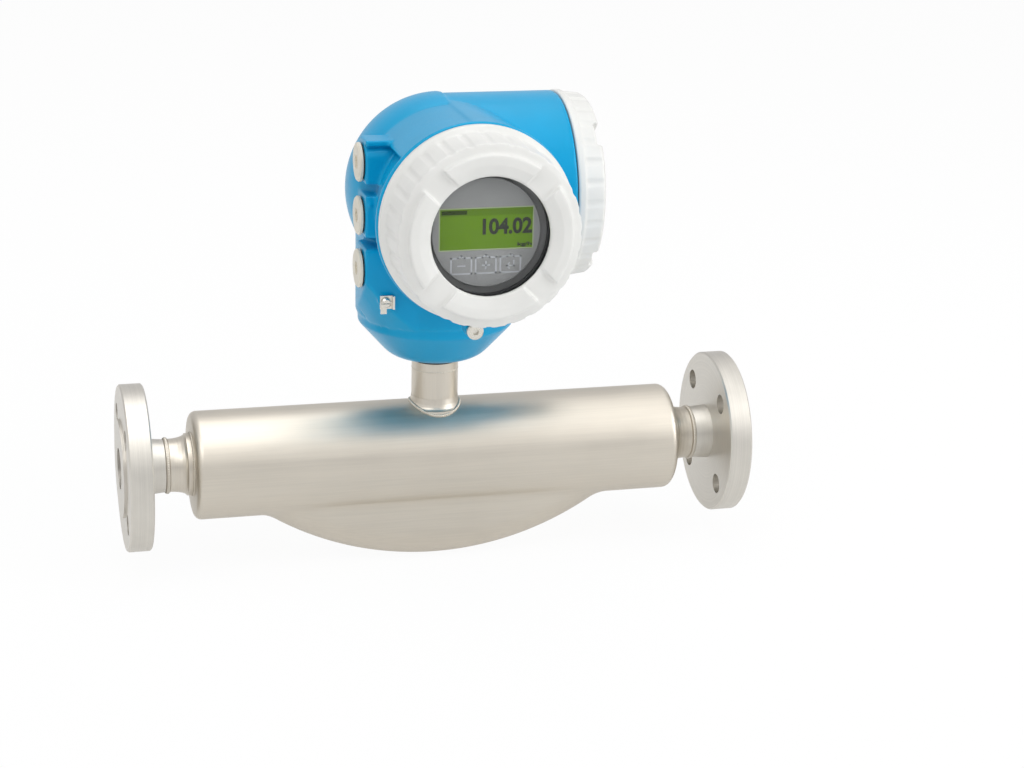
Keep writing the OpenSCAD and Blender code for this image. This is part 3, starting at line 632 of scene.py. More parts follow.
@dataclass(frozen=True)
class PrintInk(Finish):
    """Screen-printed ink with slightly uneven cover."""

    def compose(self, graph: Graph, place: Value) -> None:
        """Builds the uneven cover of the ink.

        Args:
            graph: The material's tree.
            place: The point on the piece.
        """
        cover = graph.noise(place, 900.0, 2.0)
        graph.surface(
            base_color=self.toned(graph, cover, 0.88, 1.06),
            roughness=self.roughness + cover * 0.1,
        )


@dataclass(frozen=True)
class StudioFloor(Finish):
    """Pale floor that looks white but keeps the part's shadow."""

    veil: float = 0.94
    mirrored: float = 0.45

    def compose(self, graph: Graph, place: Value) -> None:
        """Mixes the lit floor with a white that only the camera and reflections see.

        Args:
            graph: The material's tree.
            place: The point on the piece.
        """
        paper = self.mottled(graph, place, 3.0, 0.005)
        lit = graph.node("ShaderNodeBsdfDiffuse", {"Color": paper, "Roughness": self.roughness})
        white = graph.node("ShaderNodeEmission", {"Color": (1.0, 1.0, 1.0), "Strength": 1.0})
        shown = seen_rays(graph, self.veil, self.mirrored)
        graph.finish(graph.mixed(shown, lit, white))


def seen_rays(graph: Graph, direct: float = 1.0, mirrored: float = 1.0) -> Value:
    """Returns a share for rays that the camera, metal or glass sees, 0 for rays that light.

    Args:
        graph: The tree.
        direct: The share for what the camera sees.
        mirrored: The share for what shows in gloss and through glass.

    Returns:
        The share.
    """
    rays = graph.node("ShaderNodeLightPath")
    gloss = graph.value(rays, "Is Glossy Ray").largest(graph.value(rays, "Is Transmission Ray"))
    return (graph.value(rays, "Is Camera Ray") * direct).largest(gloss * mirrored)


# ------------------------------------------------------------------ the meter's finishes

STEEL = srgb(212, 205, 193)
BRIGHT = srgb(222, 218, 209)
BLUE = srgb(0, 158, 208)
PALE = srgb(229, 229, 226)
CREAM = srgb(226, 220, 205)

CASING_STEEL = SatinSteel("casing_steel", "steel_satin", STEEL, 0.38, Axis.X)
NECK_STEEL = SatinSteel("neck_steel", "steel_satin", STEEL, 0.36, Axis.Z)
PIPE_STEEL = TurnedSteel("pipe_steel", "steel_satin", STEEL, 0.3, Axis.X)
FLANGE_STEEL = TurnedSteel("flange_steel", "steel_turned", srgb(212, 208, 200), 0.36, Axis.X)
SCREW_STEEL = TurnedSteel("screw_steel", "steel_turned", BRIGHT, 0.22, Axis.Y)
WELD_STEEL = SatinSteel("weld_steel", "steel_satin", srgb(204, 198, 186), 0.28, Axis.Z, 300.0)
HOUSING_BLUE = PowderCoat(
    "housing_blue", "blue_paint", BLUE, 0.34, 0.35, 0.12, 0.4, (0.4, 0.85, 1.0)
)
COVER_WHITE = PowderCoat("cover_white", "light_grey_paint", PALE, 0.38, 0.25)
PLUG_CREAM = MouldedPlastic("plug_cream", "beige_plastic", CREAM, 0.42)
GLASS_SEAL = MouldedPlastic("glass_seal", "beige_plastic", srgb(206, 196, 176), 0.3)
SEAL_BLACK = SoftRubber("seal_black", "black_rubber", (0.012, 0.012, 0.013), 0.6)
CARRIER_BLACK = MouldedPlastic("carrier_black", "black_plastic", (0.02, 0.02, 0.021), 0.5)
COPPER_WIRE = EnamelledWire("copper_wire", "copper", srgb(186, 110, 58), 0.3)
BOARD_GREEN = CircuitBoard("board_green", "board_green", srgb(18, 92, 48), 0.35)
CLAMP_GREEN = MouldedPlastic("clamp_green", "terminal_green", srgb(38, 128, 74), 0.45)
FASCIA_GREY = MouldedPlastic("fascia_grey", "fascia_grey", srgb(154, 156, 157), 0.5)
RING_GREY = MouldedPlastic("ring_grey", "black_plastic", srgb(52, 53, 55), 0.45)
WINDOW_GLASS = ClearGlass("window_glass", "clear_glass", (0.96, 0.97, 0.97), 0.03)
LCD_INK = PrintInk("lcd_ink", "black_plastic", srgb(16, 26, 6), 0.5)
MARK_INK = PrintInk("mark_ink", "fascia_grey", srgb(196, 200, 206), 0.45)
FLOOR_PAPER = StudioFloor("floor_paper", "", (0.95, 0.95, 0.95), 0.9)


# ------------------------------------------------------------------ mesh tools


def link(data: bpy.types.ID, name: str) -> bpy.types.Object:
    """Makes an object of a mesh, a text, a lamp or a camera and puts it in the scene.

    Args:
        data: What the object holds.
        name: The object's name.

    Returns:
        The object.
    """
    piece = bpy.data.objects.new(name, data)
    bpy.context.scene.collection.objects.link(piece)
    return piece


def from_lists(
    name: str, points: Iterable[Sequence[float]], faces: Iterable[Sequence[int]] = (),
    edges: Iterable[Sequence[int]] = (),
) -> bpy.types.Object:
    """Makes an object from lists of points, faces and edges.

    Args:
        name: The object's name.
        points: Its points.
        faces: Its faces, each by its points' places in the list.
        edges: Its loose edges, the same way.

    Returns:
        The object.
    """
    mesh = bpy.data.meshes.new(name)
    mesh.from_pydata([tuple(p) for p in points], list(edges), list(faces))
    mesh.update()
    return link(mesh, name)


def quads(rows: int, count: int, first: int = 0, closed: bool = True) -> list[tuple[int, ...]]:
    """Returns the faces between rows of points.

    Args:
        rows: Number of rows.
        count: Number of points in a row.
        first: Index of the first point.
        closed: Whether a row's last point joins its first one.

    Returns:
        The faces, each by its four points.
    """
    return [
        (row + k, row + (k + 1) % count, row + count + (k + 1) % count, row + count + k)
        for row in range(first, first + (rows - 1) * count, count)
        for k in range(count if closed else count - 1)
    ]


def tidy_mesh(mesh: bpy.types.Mesh, gap: float = 0.0001 * MM, turn_out: bool = True) -> None:
    """Merges doubles and, where wanted, turns all faces outwards.

    Args:
        mesh: The mesh.
        gap: Points nearer than this become one.
        turn_out: Whether the faces are turned.
    """
    work = bmesh.new()
    work.from_mesh(mesh)
    bmesh.ops.remove_doubles(work, verts=work.verts, dist=gap)
    if turn_out:
        bmesh.ops.recalc_face_normals(work, faces=work.faces)
    work.to_mesh(mesh)
    work.free()
    mesh.update()


def baked(piece: bpy.types.Object) -> bpy.types.Object:
    """Turns an object with its modifiers into a plain mesh object of the same name.

    Args:
        piece: The object, which is removed.

    Returns:
        The plain mesh object.
    """
    bpy.context.view_layer.update()
    graph = bpy.context.evaluated_depsgraph_get()
    mesh = bpy.data.meshes.new_from_object(piece.evaluated_get(graph), depsgraph=graph)
    name = piece.name
    bpy.data.objects.remove(piece)
    mesh.name = name
    made = link(mesh, name)
    made.name = name
    return made


def smooth(piece: bpy.types.Object, angle: float = 180.0) -> None:
    """Shades a mesh smooth, with hard edges past an angle in degrees.

    Args:
        piece: The mesh object.
        angle: Edges sharper than this stay hard.
    """
    mesh = piece.data
    mesh.shade_smooth()
    if angle < 180.0:
        mesh.set_sharp_from_angle(angle=math.radians(angle))


def hand_over(
    piece: bpy.types.Object, finish: Finish, body: str, replaces: Sequence[str] = ()
) -> None:
    """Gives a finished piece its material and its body.

    Args:
        piece: The piece, with its place in its mesh.
        finish: Its finish.
        body: The body that carries it.
        replaces: The solids that it stands for.
    """
    if not piece.data.materials:
        piece.data.materials.append(finish.material())
    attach(piece, body)
    if replaces:
        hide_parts(*replaces)
    log.info("%s: %d faces on %s", piece.name, len(piece.data.polygons), body)


def dress(frame: dict[str, Any], finishes: dict[Finish, Sequence[str]]) -> None:
    """Gives solids of the frame their materials, by the names under each finish.

    Args:
        frame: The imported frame.
        finishes: The names of the solids under each finish.
    """
    for finish, names in finishes.items():
        for name in names:
            mesh = frame["nodes"][name].data
            mesh.materials.clear()
            mesh.materials.append(finish.material())
            log.info("%s: dressed in %s", name, finish.label)


class Tree(Nodes):
    """A Geometry Nodes tree with named inputs."""

    def __init__(self, name: str, inputs: dict[str, tuple[str, Any]]) -> None:
        """Starts the tree.

        Args:
            name: Its name.
            inputs: For each named input its socket type and default.
        """
        self.tree = bpy.data.node_groups.new(name, "GeometryNodeTree")
        face = self.tree.interface
        face.new_socket("Geometry", in_out="INPUT", socket_type="NodeSocketGeometry")
        face.new_socket("Geometry", in_out="OUTPUT", socket_type="NodeSocketGeometry")
        self.keys: dict[str, str] = {}
        for label, (kind, default) in inputs.items():
            socket = face.new_socket(label, in_out="INPUT", socket_type=kind)
            if default is not None:
                socket.default_value = default
            self.keys[label] = socket.identifier
        self.start = self.tree.nodes.new("NodeGroupInput")

    def input(self, label: str) -> bpy.types.NodeSocket:
        """Returns the socket of a named input."""
        return self.start.outputs[label]

    def close(self, geometry: bpy.types.Node) -> None:
        """Ends the tree: instances become real and take the material input.

        Args:
            geometry: The node whose output ends the tree.
        """
        real = self.node("GeometryNodeRealizeInstances", {"Geometry": geometry})
        sockets = {"Geometry": real, "Material": self.input("Material")}
        self.node("NodeGroupOutput", {0: self.node("GeometryNodeSetMaterial", sockets)})

    def run(self, source: bpy.types.Object, values: dict[str, Any]) -> bpy.types.Object:
        """Runs the tree on an object and returns the result as a plain mesh.

        Args:
            source: The object that the tree works on; the result takes its name.
            values: The named inputs' values.

        Returns:
            The plain mesh object.
        """
        modifier = source.modifiers.new(self.tree.name, "NODES")
        modifier.node_group = self.tree
        for label, given in values.items():
            modifier[self.keys[label]] = given
        return baked(source)


# ------------------------------------------------------------------ weld beads


@dataclass
class WeldBeads:
    """Rippled weld beads that follow paths on the steel."""

    ripple: float = 1.1 * MM
    overlap: float = 0.8
    tree: Tree | None = None

    def nodes(self) -> Tree:
        """Builds the tree once: lens-shaped ripples on points along a path.

        Returns:
            The tree.
        """
        if self.tree is None:
            tree = Tree(
                "weld_bead",
                {
                    "Spacing": ("NodeSocketFloat", self.ripple),
                    "Bead Size": ("NodeSocketVector", (1.4 * MM, 1.4 * MM, 1.0 * MM)),
                    "Material": ("NodeSocketMaterial", None),
                },
            )
            path = tree.node("GeometryNodeMeshToCurve", {"Mesh": tree.input("Geometry")})
            sockets = {"Curve": path, "Length": tree.input("Spacing")}
            even = tree.node("GeometryNodeResampleCurve", sockets, mode="LENGTH")
            spots = tree.node("GeometryNodeCurveToPoints", {"Curve": even}, mode="EVALUATED")
            drop = tree.node("GeometryNodeMeshIcoSphere", {"Radius": 1.0, "Subdivisions": 2})
            ripples = tree.node(
                "GeometryNodeInstanceOnPoints",
                {
                    "Points": spots.outputs["Points"],
                    "Instance": drop,
                    "Rotation": spots.outputs["Rotation"],
                    "Scale": tree.input("Bead Size"),
                },
            )
            tree.close(tree.node("GeometryNodeSetShadeSmooth", {0: ripples}))
            self.tree = tree
        return self.tree

    def lay(
        self, name: str, paths: Sequence[Sequence[Point]], width: float, ripple: float = 0.0
    ) -> None:
        """Lays closed beads along paths and hands them over as one piece.

        Args:
            name: The piece's name.
            paths: Closed paths, each a list of points.
            width: Width of the bead.
            ripple: Length of a ripple, where it isn't the usual one.
        """
        points: list[Point] = []
        edges: list[tuple[int, int]] = []
        for path in paths:
            first = len(points)
            points.extend(path)
            count = len(path)
            edges.extend((first + i, first + (i + 1) % count) for i in range(count))
        source = from_lists(name, points, edges=edges)
        step = ripple or self.ripple
        size = (width / 2, width / 2, step * self.overlap)
        values = {"Spacing": step, "Bead Size": size, "Material": WELD_STEEL.material()}
        hand_over(self.nodes().run(source, values), WELD_STEEL, "sensor_body")


def ring_x(x: float, radius: float, steps: int = 160) -> list[Point]:
    """Returns a circle about the X axis."""
    turns = [math.tau * i / steps for i in range(steps)]
    return [(x, radius * math.cos(t), radius * math.sin(t)) for t in turns]


# ------------------------------------------------------------------ sensor


@dataclass
class Casing:
    """The welded casing: tube, belly and end caps as one ground and blasted shell."""

    corner_r: float = 5.0 * MM
    belly_r: float = 213.0 * MM
    belly_half_w: float = 24.0 * MM
    blend: float = 4.5 * MM
    nozzle_r: float = 21.6 * MM
    stations: int = 300
    sides: int = 200
    corner_steps: int = 9
    reach_limit: float = 120.0 * MM
    halvings: int = 26
    low_x: float = field(init=False)
    high_x: float = field(init=False)
    axis_z: float = field(init=False)
    radius: float = field(init=False)
    belly_low: float = field(init=False)

    def measure(self) -> None:
        """Takes the casing's place and sizes from the frame's solids."""
        tube_low, tube_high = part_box("casing_tube")
        self.radius = (tube_high.y - tube_low.y) / 2
        self.axis_z = tube_high.z - self.radius
        self.low_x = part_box("inlet_end_cap")[0].x
        self.high_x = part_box("outlet_end_cap")[1].x
        self.belly_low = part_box("casing_belly")[0].z

    def belly_reach(self, offset: float, turn: np.ndarray) -> np.ndarray:
        """Returns how far the belly reaches from the casing axis at one station.

        Args:
            offset: Distance of the station from the middle.
            turn: Angles from straight down.

        Returns:
            The reach for each angle, 0 where the belly lies inside the tube.
        """
        centre = self.belly_low + self.belly_r
        bend = self.belly_r - self.belly_half_w

        def inside(reach: np.ndarray) -> np.ndarray:
            """Tells which points lie in the belly's body.

            Args:
                reach: Distance from the casing's axis, for each angle.

            Returns:
                True for each point that lies in it.
            """
            side = reach * np.sin(turn)
            deep = np.hypot(offset, centre - (self.axis_z - reach * np.cos(turn)))
            wide = np.where(deep <= bend, np.abs(side), np.hypot(deep - bend, side))
            return (wide <= self.belly_half_w) & (np.cos(turn) > 0)

        low = np.zeros_like(turn)
        high = np.full_like(turn, self.reach_limit)
        held = inside(low + 1e-6)
        for _ in range(self.halvings):
            middle = (low + high) / 2
            within = inside(middle)
            low = np.where(within, middle, low)
            high = np.where(within, high, middle)
        return np.where(held, low, 0.0)

    def station_list(self) -> list[tuple[float, float]]:
        """Returns each station's x and how far its ring is drawn in at the corners.

        Returns:
            One pair for each station, from inlet to outlet.
        """
        corner = [
            (self.corner_r * (1 - math.cos(a)), self.corner_r * (1 - math.sin(a)))
            for a in np.linspace(0, math.pi / 2, self.corner_steps)
        ]
        middle = np.linspace(self.low_x + self.corner_r, self.high_x - self.corner_r, self.stations)
        return (
            [(self.low_x + x, drawn) for x, drawn in corner]
            + [(float(x), 0.0) for x in middle[1:-1]]
            + [(self.high_x - x, drawn) for x, drawn in reversed(corner)]
        )

    def build(self) -> None:
        """Builds the shell from one ring at each station and hands it over."""
        self.measure()
        turn = np.linspace(0, math.tau, self.sides, endpoint=False)

        def ring(x: float, reach: np.ndarray | float, middle_z: float) -> np.ndarray:
            """Returns the points at a reach round a line along X."""
            across, down = reach * np.sin(turn), reach * np.cos(turn)
            return np.stack((np.full_like(turn, x), across, middle_z - down), axis=1)

        middle = (self.low_x + self.high_x) / 2
        rings = [ring(self.low_x, self.nozzle_r, 0.0)]
        for x, drawn in self.station_list():
            belly = self.belly_reach(x - middle, turn)
            near = np.clip(self.blend - np.abs(self.radius - belly), 0, None) / self.blend
            reach = np.maximum(self.radius, belly) + near**2 * self.blend / 4 - drawn
            rings.append(ring(x, reach, self.axis_z))
        rings.append(ring(self.high_x, self.nozzle_r, 0.0))
        points = [tuple(p) for row in rings for p in row]
        n = self.sides
        faces = quads(len(rings), n)
        for first in (0, (len(rings) - 1) * n):
            hub = len(points)
            points.append((points[first][0], 0.0, 0.0))
            faces.extend((hub, first + k, first + (k + 1) % n) for k in range(n))
        piece = from_lists("casing_shell", points, faces)
        tidy_mesh(piece.data)
        smooth(piece, 50.0)
        hand_over(
            piece, CASING_STEEL, "sensor_body",
            ("casing_tube", "casing_belly", "inlet_end_cap", "outlet_end_cap"),
        )


@dataclass
class Sensor:
    """The pipe section: flanges, manifolds, tubes, casing and neck."""

    casing: Casing = field(default_factory=Casing)
    beads: WeldBeads = field(default_factory=WeldBeads)
    hub_weld_r: float = 17.8 * MM
    nozzle_weld_r: float = 21.4 * MM
    collar_along: float = 17.2 * MM
    collar_across: float = 19.8 * MM
    hub_weld_in: float = 1.6 * MM
    hub_bead: float = 3.6 * MM
    nozzle_bead: float = 2.2 * MM
    collar_bead: float = 2.6 * MM
    collar_ripple: float = 1.5 * MM
    seam_r: float = 15.7 * MM
    seam_bead: float = 1.4 * MM

    def solids(self) -> dict[Finish, Sequence[str]]:
        """Returns the sensor's solids under their finishes.

        Returns:
            The names of the solids under each finish.
        """

        def ends(part: str) -> list[str]:
            """Returns the names of a part that both ends have."""
            return [f"inlet_{part}", f"outlet_{part}"]

        return {
            FLANGE_STEEL: ends("flange"),
            PIPE_STEEL: ["measuring_tube_front", "measuring_tube_rear", *ends("manifold")],
            CASING_STEEL: [
                "casing_tube", "casing_belly", *ends("end_cap"), *ends("brace_plates")
            ],
            NECK_STEEL: ["neck_tube", "neck_weld_collar", "neck_head"],
            COPPER_WIRE: ["drive_coil", *ends("pickoff_coil")],
            SCREW_STEEL: ["drive_magnet", *ends("pickoff_magnet")],
            GLASS_SEAL: ["temperature_sensor", "feedthrough"],
            CARRIER_BLACK: ["sensor_harness"],
            SEAL_BLACK: ["neck_seal"],
        }

    def saddle(self, x: float, steps: int = 180) -> list[Point]:
        """Returns the closed line where the neck's flared collar meets the casing.

        Args:
            x: Middle of the neck along the casing.
            steps: Number of points round the neck.

        Returns:
            The line's points.
        """
        line = []
        for i in range(steps):
            turn = math.tau * i / steps
            spread = (self.collar_across - self.collar_along) * math.sin(turn) ** 2
            radius = self.collar_along + spread
            y = radius * math.sin(turn)
            z = self.casing.axis_z + math.sqrt(self.casing.radius**2 - y * y)
            line.append((x + radius * math.cos(turn), y, z))
        return line

    def build(self, frame: dict[str, Any]) -> None:
        """Dresses the solids, builds the shell and lays the welds.

        Args:
            frame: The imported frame.
        """
        dress(frame, self.solids())
        self.casing.build()
        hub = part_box("inlet_flange")[1].x + self.hub_weld_in
        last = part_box("outlet_flange")[1].x
        neck_x = sum(corner.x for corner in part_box("neck_tube")) / 2
        head_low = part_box("neck_head")[0].z
        lay = self.beads.lay
        lay("hub_welds", [ring_x(x, self.hub_weld_r) for x in (hub, last - hub)], self.hub_bead)
        mouths = (self.casing.low_x, self.casing.high_x)
        lay("nozzle_welds", [ring_x(x, self.nozzle_weld_r) for x in mouths], self.nozzle_bead)
        lay("collar_weld", [self.saddle(neck_x)], self.collar_bead, self.collar_ripple)
        seam = [(neck_x + y, z, head_low) for _, y, z in ring_x(0.0, self.seam_r)]
        lay("neck_seam", [seam], self.seam_bead)


# ------------------------------------------------------------------ transmitter


@dataclass
class Casting:
    """A die casting: the solid's form with the soft edges that casting and paint leave."""

    node: str
    body: str
    finish: Finish
    voxel: float
    rounds: int
    keep: float

    def build(self, frame: dict[str, Any]) -> None:
        """Builds the softened copy of the solid and hands it over in the solid's place.

        Args:
            frame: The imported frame.
        """
        mesh = frame["nodes"][self.node].data.copy()
        mesh.materials.clear()
        mesh.name = f"{self.node}_casting"
        piece = link(mesh, mesh.name)
        tidy_mesh(mesh, 0.002 * MM, turn_out=False)
        remesh = piece.modifiers.new("remesh", "REMESH")
        remesh.mode = "VOXEL"
        remesh.voxel_size = self.voxel
        soft = piece.modifiers.new("soft", "SMOOTH")
        soft.factor = 0.5
        soft.iterations = self.rounds
        piece.modifiers.new("thin", "DECIMATE").ratio = self.keep
        piece = baked(piece)
        smooth(piece)
        hand_over(piece, self.finish, self.body, (self.node,))


@dataclass
class Transmitter:
    """The turnable housing with its entries, locks, boards and terminals."""

    voxel: float = 1.15 * MM
    rounds: int = 5
    keep: float = 0.5

    def build(self, frame: dict[str, Any]) -> None:
        """Dresses the solids and builds the housing's casting.

        Args:
            frame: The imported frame.
        """
        solids: dict[Finish, Sequence[str]] = {
            HOUSING_BLUE: ["housing"],
            SCREW_STEEL: [
                "swivel_lock_screw", "ground_clamp", "ground_screw", "display_cover_lock",
                "connection_cover_lock", "terminal_screws",
            ],
            PLUG_CREAM: [f"entry_plug_{place}" for place in ("upper", "middle", "lower")],
            SEAL_BLACK: ["entry_seals"],
            CARRIER_BLACK: ["electronics_carrier", "terminal_plate"],
            BOARD_GREEN: ["main_board", "power_board"],
            CLAMP_GREEN: ["terminal_block"],
        }
        dress(frame, solids)
        Casting(
            "housing", "transmitter_body", HOUSING_BLUE, self.voxel, self.rounds, self.keep
        ).build(frame)


# ------------------------------------------------------------------ display


@dataclass
class DisplayFace:
    """The display's face: its crystal panel, reading, unit and three touch keys."""

    reading_size: tuple[float, float] = (32.3 * MM, 10.6 * MM)
    reading_drop: float = 4.0 * MM
    unit_size: tuple[float, float] = (9.4 * MM, 3.2 * MM)
    unit_rise: float = 1.1 * MM
    ink_t: float = 0.06 * MM
    inset: float = 1.0 * MM
    em: float = 1.38
    letter_gap: float = 0.98
    key_w: float = 13.2 * MM
    key_h: float = 10.2 * MM
    key_peak: float = 2.2 * MM
    key_pitch: float = 16.0 * MM
    key_low: float = 26.3 * MM
    sign_half: float = 2.2 * MM
    line_w: float = 1.05 * MM
    panel_low: Vector = field(init=False)
    panel_high: Vector = field(init=False)
    axis: Vector = field(init=False)

    def measure(self) -> None:
        """Takes the panel's and the holder's place from the frame."""
        self.panel_low, self.panel_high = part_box("display_panel")
        low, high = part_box("display_holder")
        self.axis = Vector(((low.x + high.x) / 2, low.y, (low.z + high.z) / 2))

    def crystal(self) -> LiquidCrystal:
        """Returns the panel's finish, fitted to its place.

        Returns:
            The finish.
        """
        centre = (self.panel_low + self.panel_high) / 2
        half = (self.panel_high - self.panel_low) / 2
        return LiquidCrystal(
            "crystal_panel", "display_green", srgb(99, 139, 10), 0.35,
            centre=tuple(centre), half=(half.x, half.z),
        )

    def upright(self, x: float, y: float, z: float) -> Matrix:
        """Returns the matrix that stands a flat drawing on a face, seen from the front."""
        turn = Matrix(((1, 0, 0, 0), (0, 0, -1, 0), (0, 1, 0, 0), (0, 0, 0, 1)))
        return Matrix.Translation((x, y - self.ink_t / 2, z)) @ turn

    def figures(
        self, name: str, text: str, size: tuple[float, float], bold: float, low: float
    ) -> None:
        """Sets figures in relief at the right of the panel.

        Args:
            name: The piece's name.
            text: What is set.
            size: Width and height of the whole text.
            bold: How much the strokes are thickened.
            low: Where it stands, in Z.
        """
        curve = bpy.data.curves.new(name, "FONT")
        curve.body = text
        curve.size = size[1] * self.em
        curve.offset = bold
        curve.extrude = self.ink_t / 2
        curve.resolution_u = 4
        curve.space_character = self.letter_gap
        piece = baked(link(curve, name))
        mesh = piece.data
        points = np.array([v.co for v in mesh.vertices])
        lowest, highest = points.min(0), points.max(0)
        wide, high = size[0] / (highest[0] - lowest[0]), size[1] / (highest[1] - lowest[1])
        corner = Matrix.Translation((-highest[0], -lowest[1], 0.0))
        fit = Matrix.Diagonal((wide, high, 1.0, 1.0)) @ corner
        right = self.panel_high.x - self.inset
        mesh.transform(self.upright(right, self.panel_low.y, low) @ fit)
        tidy_mesh(mesh, turn_out=False)
        hand_over(piece, LCD_INK, "display_body")

    def strokes(
        self, name: str, lines: Sequence[Sequence[tuple[float, float]]], width: float, x: float
    ) -> bpy.types.Object:
        """Draws flat strokes as thin solid bars on the fascia, over the foot of the keys.

        Args:
            name: The object's name.
            lines: Open lines of points, across and up.
            width: Width of a stroke.
            x: Where the lines' middle stands.

        Returns:
            The object.
        """
        points: list[Point] = []
        faces: list[tuple[int, ...]] = []
        deep = self.ink_t / 2
        for line in lines:
            for start, end in zip(line, line[1:]):
                along = np.subtract(end, start) / math.dist(start, end) * (width / 2)
                across = np.array((along[1], -along[0]))
                start, end = start - along, end + along
                corners = (start + across, end + across, end - across, start - across)
                first = len(points)
                points.extend((*corner, z) for z in (-deep, deep) for corner in corners)
                faces.append((first + 3, first + 2, first + 1, first))
                faces.append((first + 4, first + 5, first + 6, first + 7))
                faces += quads(2, 4, first)
        drawing = from_lists(name, points, faces)
        drawing.data.transform(self.upright(x, self.axis.y, self.axis.z - self.key_low))
        return drawing

    def key_frames(self) -> None:
        """Builds one key's outline and repeats it in a row of three."""
        w, h, peak = self.key_w / 2, self.key_h, self.key_peak
        outline = [
            (-w, 0.0), (-w, h), (-peak, h), (0.0, h + peak * 0.7), (peak, h), (w, h), (w, 0.0),
            (-w, 0.0),
        ]
        first_x = self.axis.x - self.key_pitch
        mark = self.strokes("key_frames", [outline], self.line_w, first_x)
        pitch = (self.key_pitch, 0.0, 0.0)
        tree = Tree(
            "key_row",
            {
                "Count": ("NodeSocketInt", 3),
                "Pitch": ("NodeSocketVector", pitch),
                "Material": ("NodeSocketMaterial", None),
            },
        )
        sockets = {"Count": tree.input("Count"), "Offset": tree.input("Pitch")}
        row = tree.node("GeometryNodeMeshLine", sockets, mode="OFFSET")
        sockets = {"Points": row, "Instance": tree.input("Geometry")}
        tree.close(tree.node("GeometryNodeInstanceOnPoints", sockets))
        values = {"Count": 3, "Pitch": pitch, "Material": MARK_INK.material()}
        hand_over(tree.run(mark, values), MARK_INK, "display_body")

    def key_signs(self) -> None:
        """Draws the signs in the keys: minus, plus and enter."""
        s, up = self.sign_half, self.key_h / 2
        left, right = -self.key_pitch, self.key_pitch
        foot, tip = up - s * 0.4, right - s * 0.3
        lines = [
            [(left - s, up), (left + s, up)],
            [(-s, up), (s, up)],
            [(0.0, up - s), (0.0, up + s)],
            [(right + s, up + s), (right + s, foot), (right - s, foot)],
            [(tip, up + s * 0.4), (right - s, foot), (tip, up - s * 1.2)],
        ]
        signs = self.strokes("key_signs", lines, self.line_w * 0.9, self.axis.x)
        hand_over(signs, MARK_INK, "display_body")

    def build(self, frame: dict[str, Any]) -> None:
        """Dresses the module and adds its figures and keys.

        Args:
            frame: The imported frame.
        """
        self.measure()
        dress(frame, {FASCIA_GREY: ["display_holder"], self.crystal(): ["display_panel"]})
        low = (self.panel_low.z + self.panel_high.z) / 2 - self.reading_drop
        self.figures("reading", "104.02", self.reading_size, 0.5 * MM, low)
        low = self.panel_low.z + self.unit_rise
        self.figures("unit", "kg/h", self.unit_size, 0.14 * MM, low)
        self.key_frames()
        self.key_signs()


# ------------------------------------------------------------------ covers


@dataclass
class Covers:
    """The two screwed covers with their window, seals and threads."""

    voxel: float = 0.75 * MM
    rounds: int = 3
    keep: float = 0.75
    collar_r: float = 56.9 * MM
    pitch: float = 2.0 * MM
    turns: float = 3.75
    steps_a_turn: int = 144
    lead_in: float = 1.0 * MM
    run_out: float = 1 / 12
    ridge: tuple[tuple[float, float], ...] = (
        (-0.4, -0.75), (0.28, -0.14), (0.28, 0.14), (-0.4, 0.75)
    )

    def thread(self, cover: str, across: Vector, up: Vector) -> None:
        """Winds a right-hand thread round a cover's collar.

        Args:
            cover: The cover's name.
            across: A direction across the collar.
            up: The other one; the product of the two points outwards.
        """
        out = across.cross(up)
        middle = sum(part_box(f"{cover}_seal"), Vector()) / 2
        inner_end = min(corner.dot(out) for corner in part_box(cover))
        foot = middle + out * (inner_end - middle.dot(out))
        steps = int(self.turns * self.steps_a_turn)
        points = []
        for i in range(steps + 1):
            share = i / steps
            turn = math.tau * self.turns * share
            ray = across * math.cos(turn) + up * math.sin(turn)
            fade = min(1.0, share / self.run_out, (1 - share) / self.run_out)
            for height, side in self.ridge:
                reach = self.collar_r + height * MM * (1.0 if height < 0 else fade)
                rise = self.lead_in + self.pitch * self.turns * share + side * MM
                points.append(tuple(foot + ray * reach + out * rise))
        n = len(self.ridge)
        faces = quads(steps + 1, n)
        faces += [tuple(range(n)), tuple(steps * n + k for k in reversed(range(n)))]
        piece = from_lists(f"{cover}_thread", points, faces)
        tidy_mesh(piece.data)
        smooth(piece, 30.0)
        hand_over(piece, COVER_WHITE, f"{cover}_body")

    def build(self, frame: dict[str, Any]) -> None:
        """Dresses the window and seals, builds both covers' castings and winds their threads.

        Args:
            frame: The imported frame.
        """
        covers = ("display_cover", "connection_cover")
        solids: dict[Finish, Sequence[str]] = {
            COVER_WHITE: covers,
            WINDOW_GLASS: ["display_window"],
            SEAL_BLACK: ["window_gasket", *(f"{cover}_seal" for cover in covers)],
            RING_GREY: ["window_ring"],
        }
        dress(frame, solids)
        for cover in covers:
            Casting(
                cover, f"{cover}_body", COVER_WHITE, self.voxel, self.rounds, self.keep
            ).build(frame)
        east, north, up = Vector((1, 0, 0)), Vector((0, 1, 0)), Vector((0, 0, 1))
        self.thread("display_cover", east, up)
        self.thread("connection_cover", north, up)


# ------------------------------------------------------------------ studio


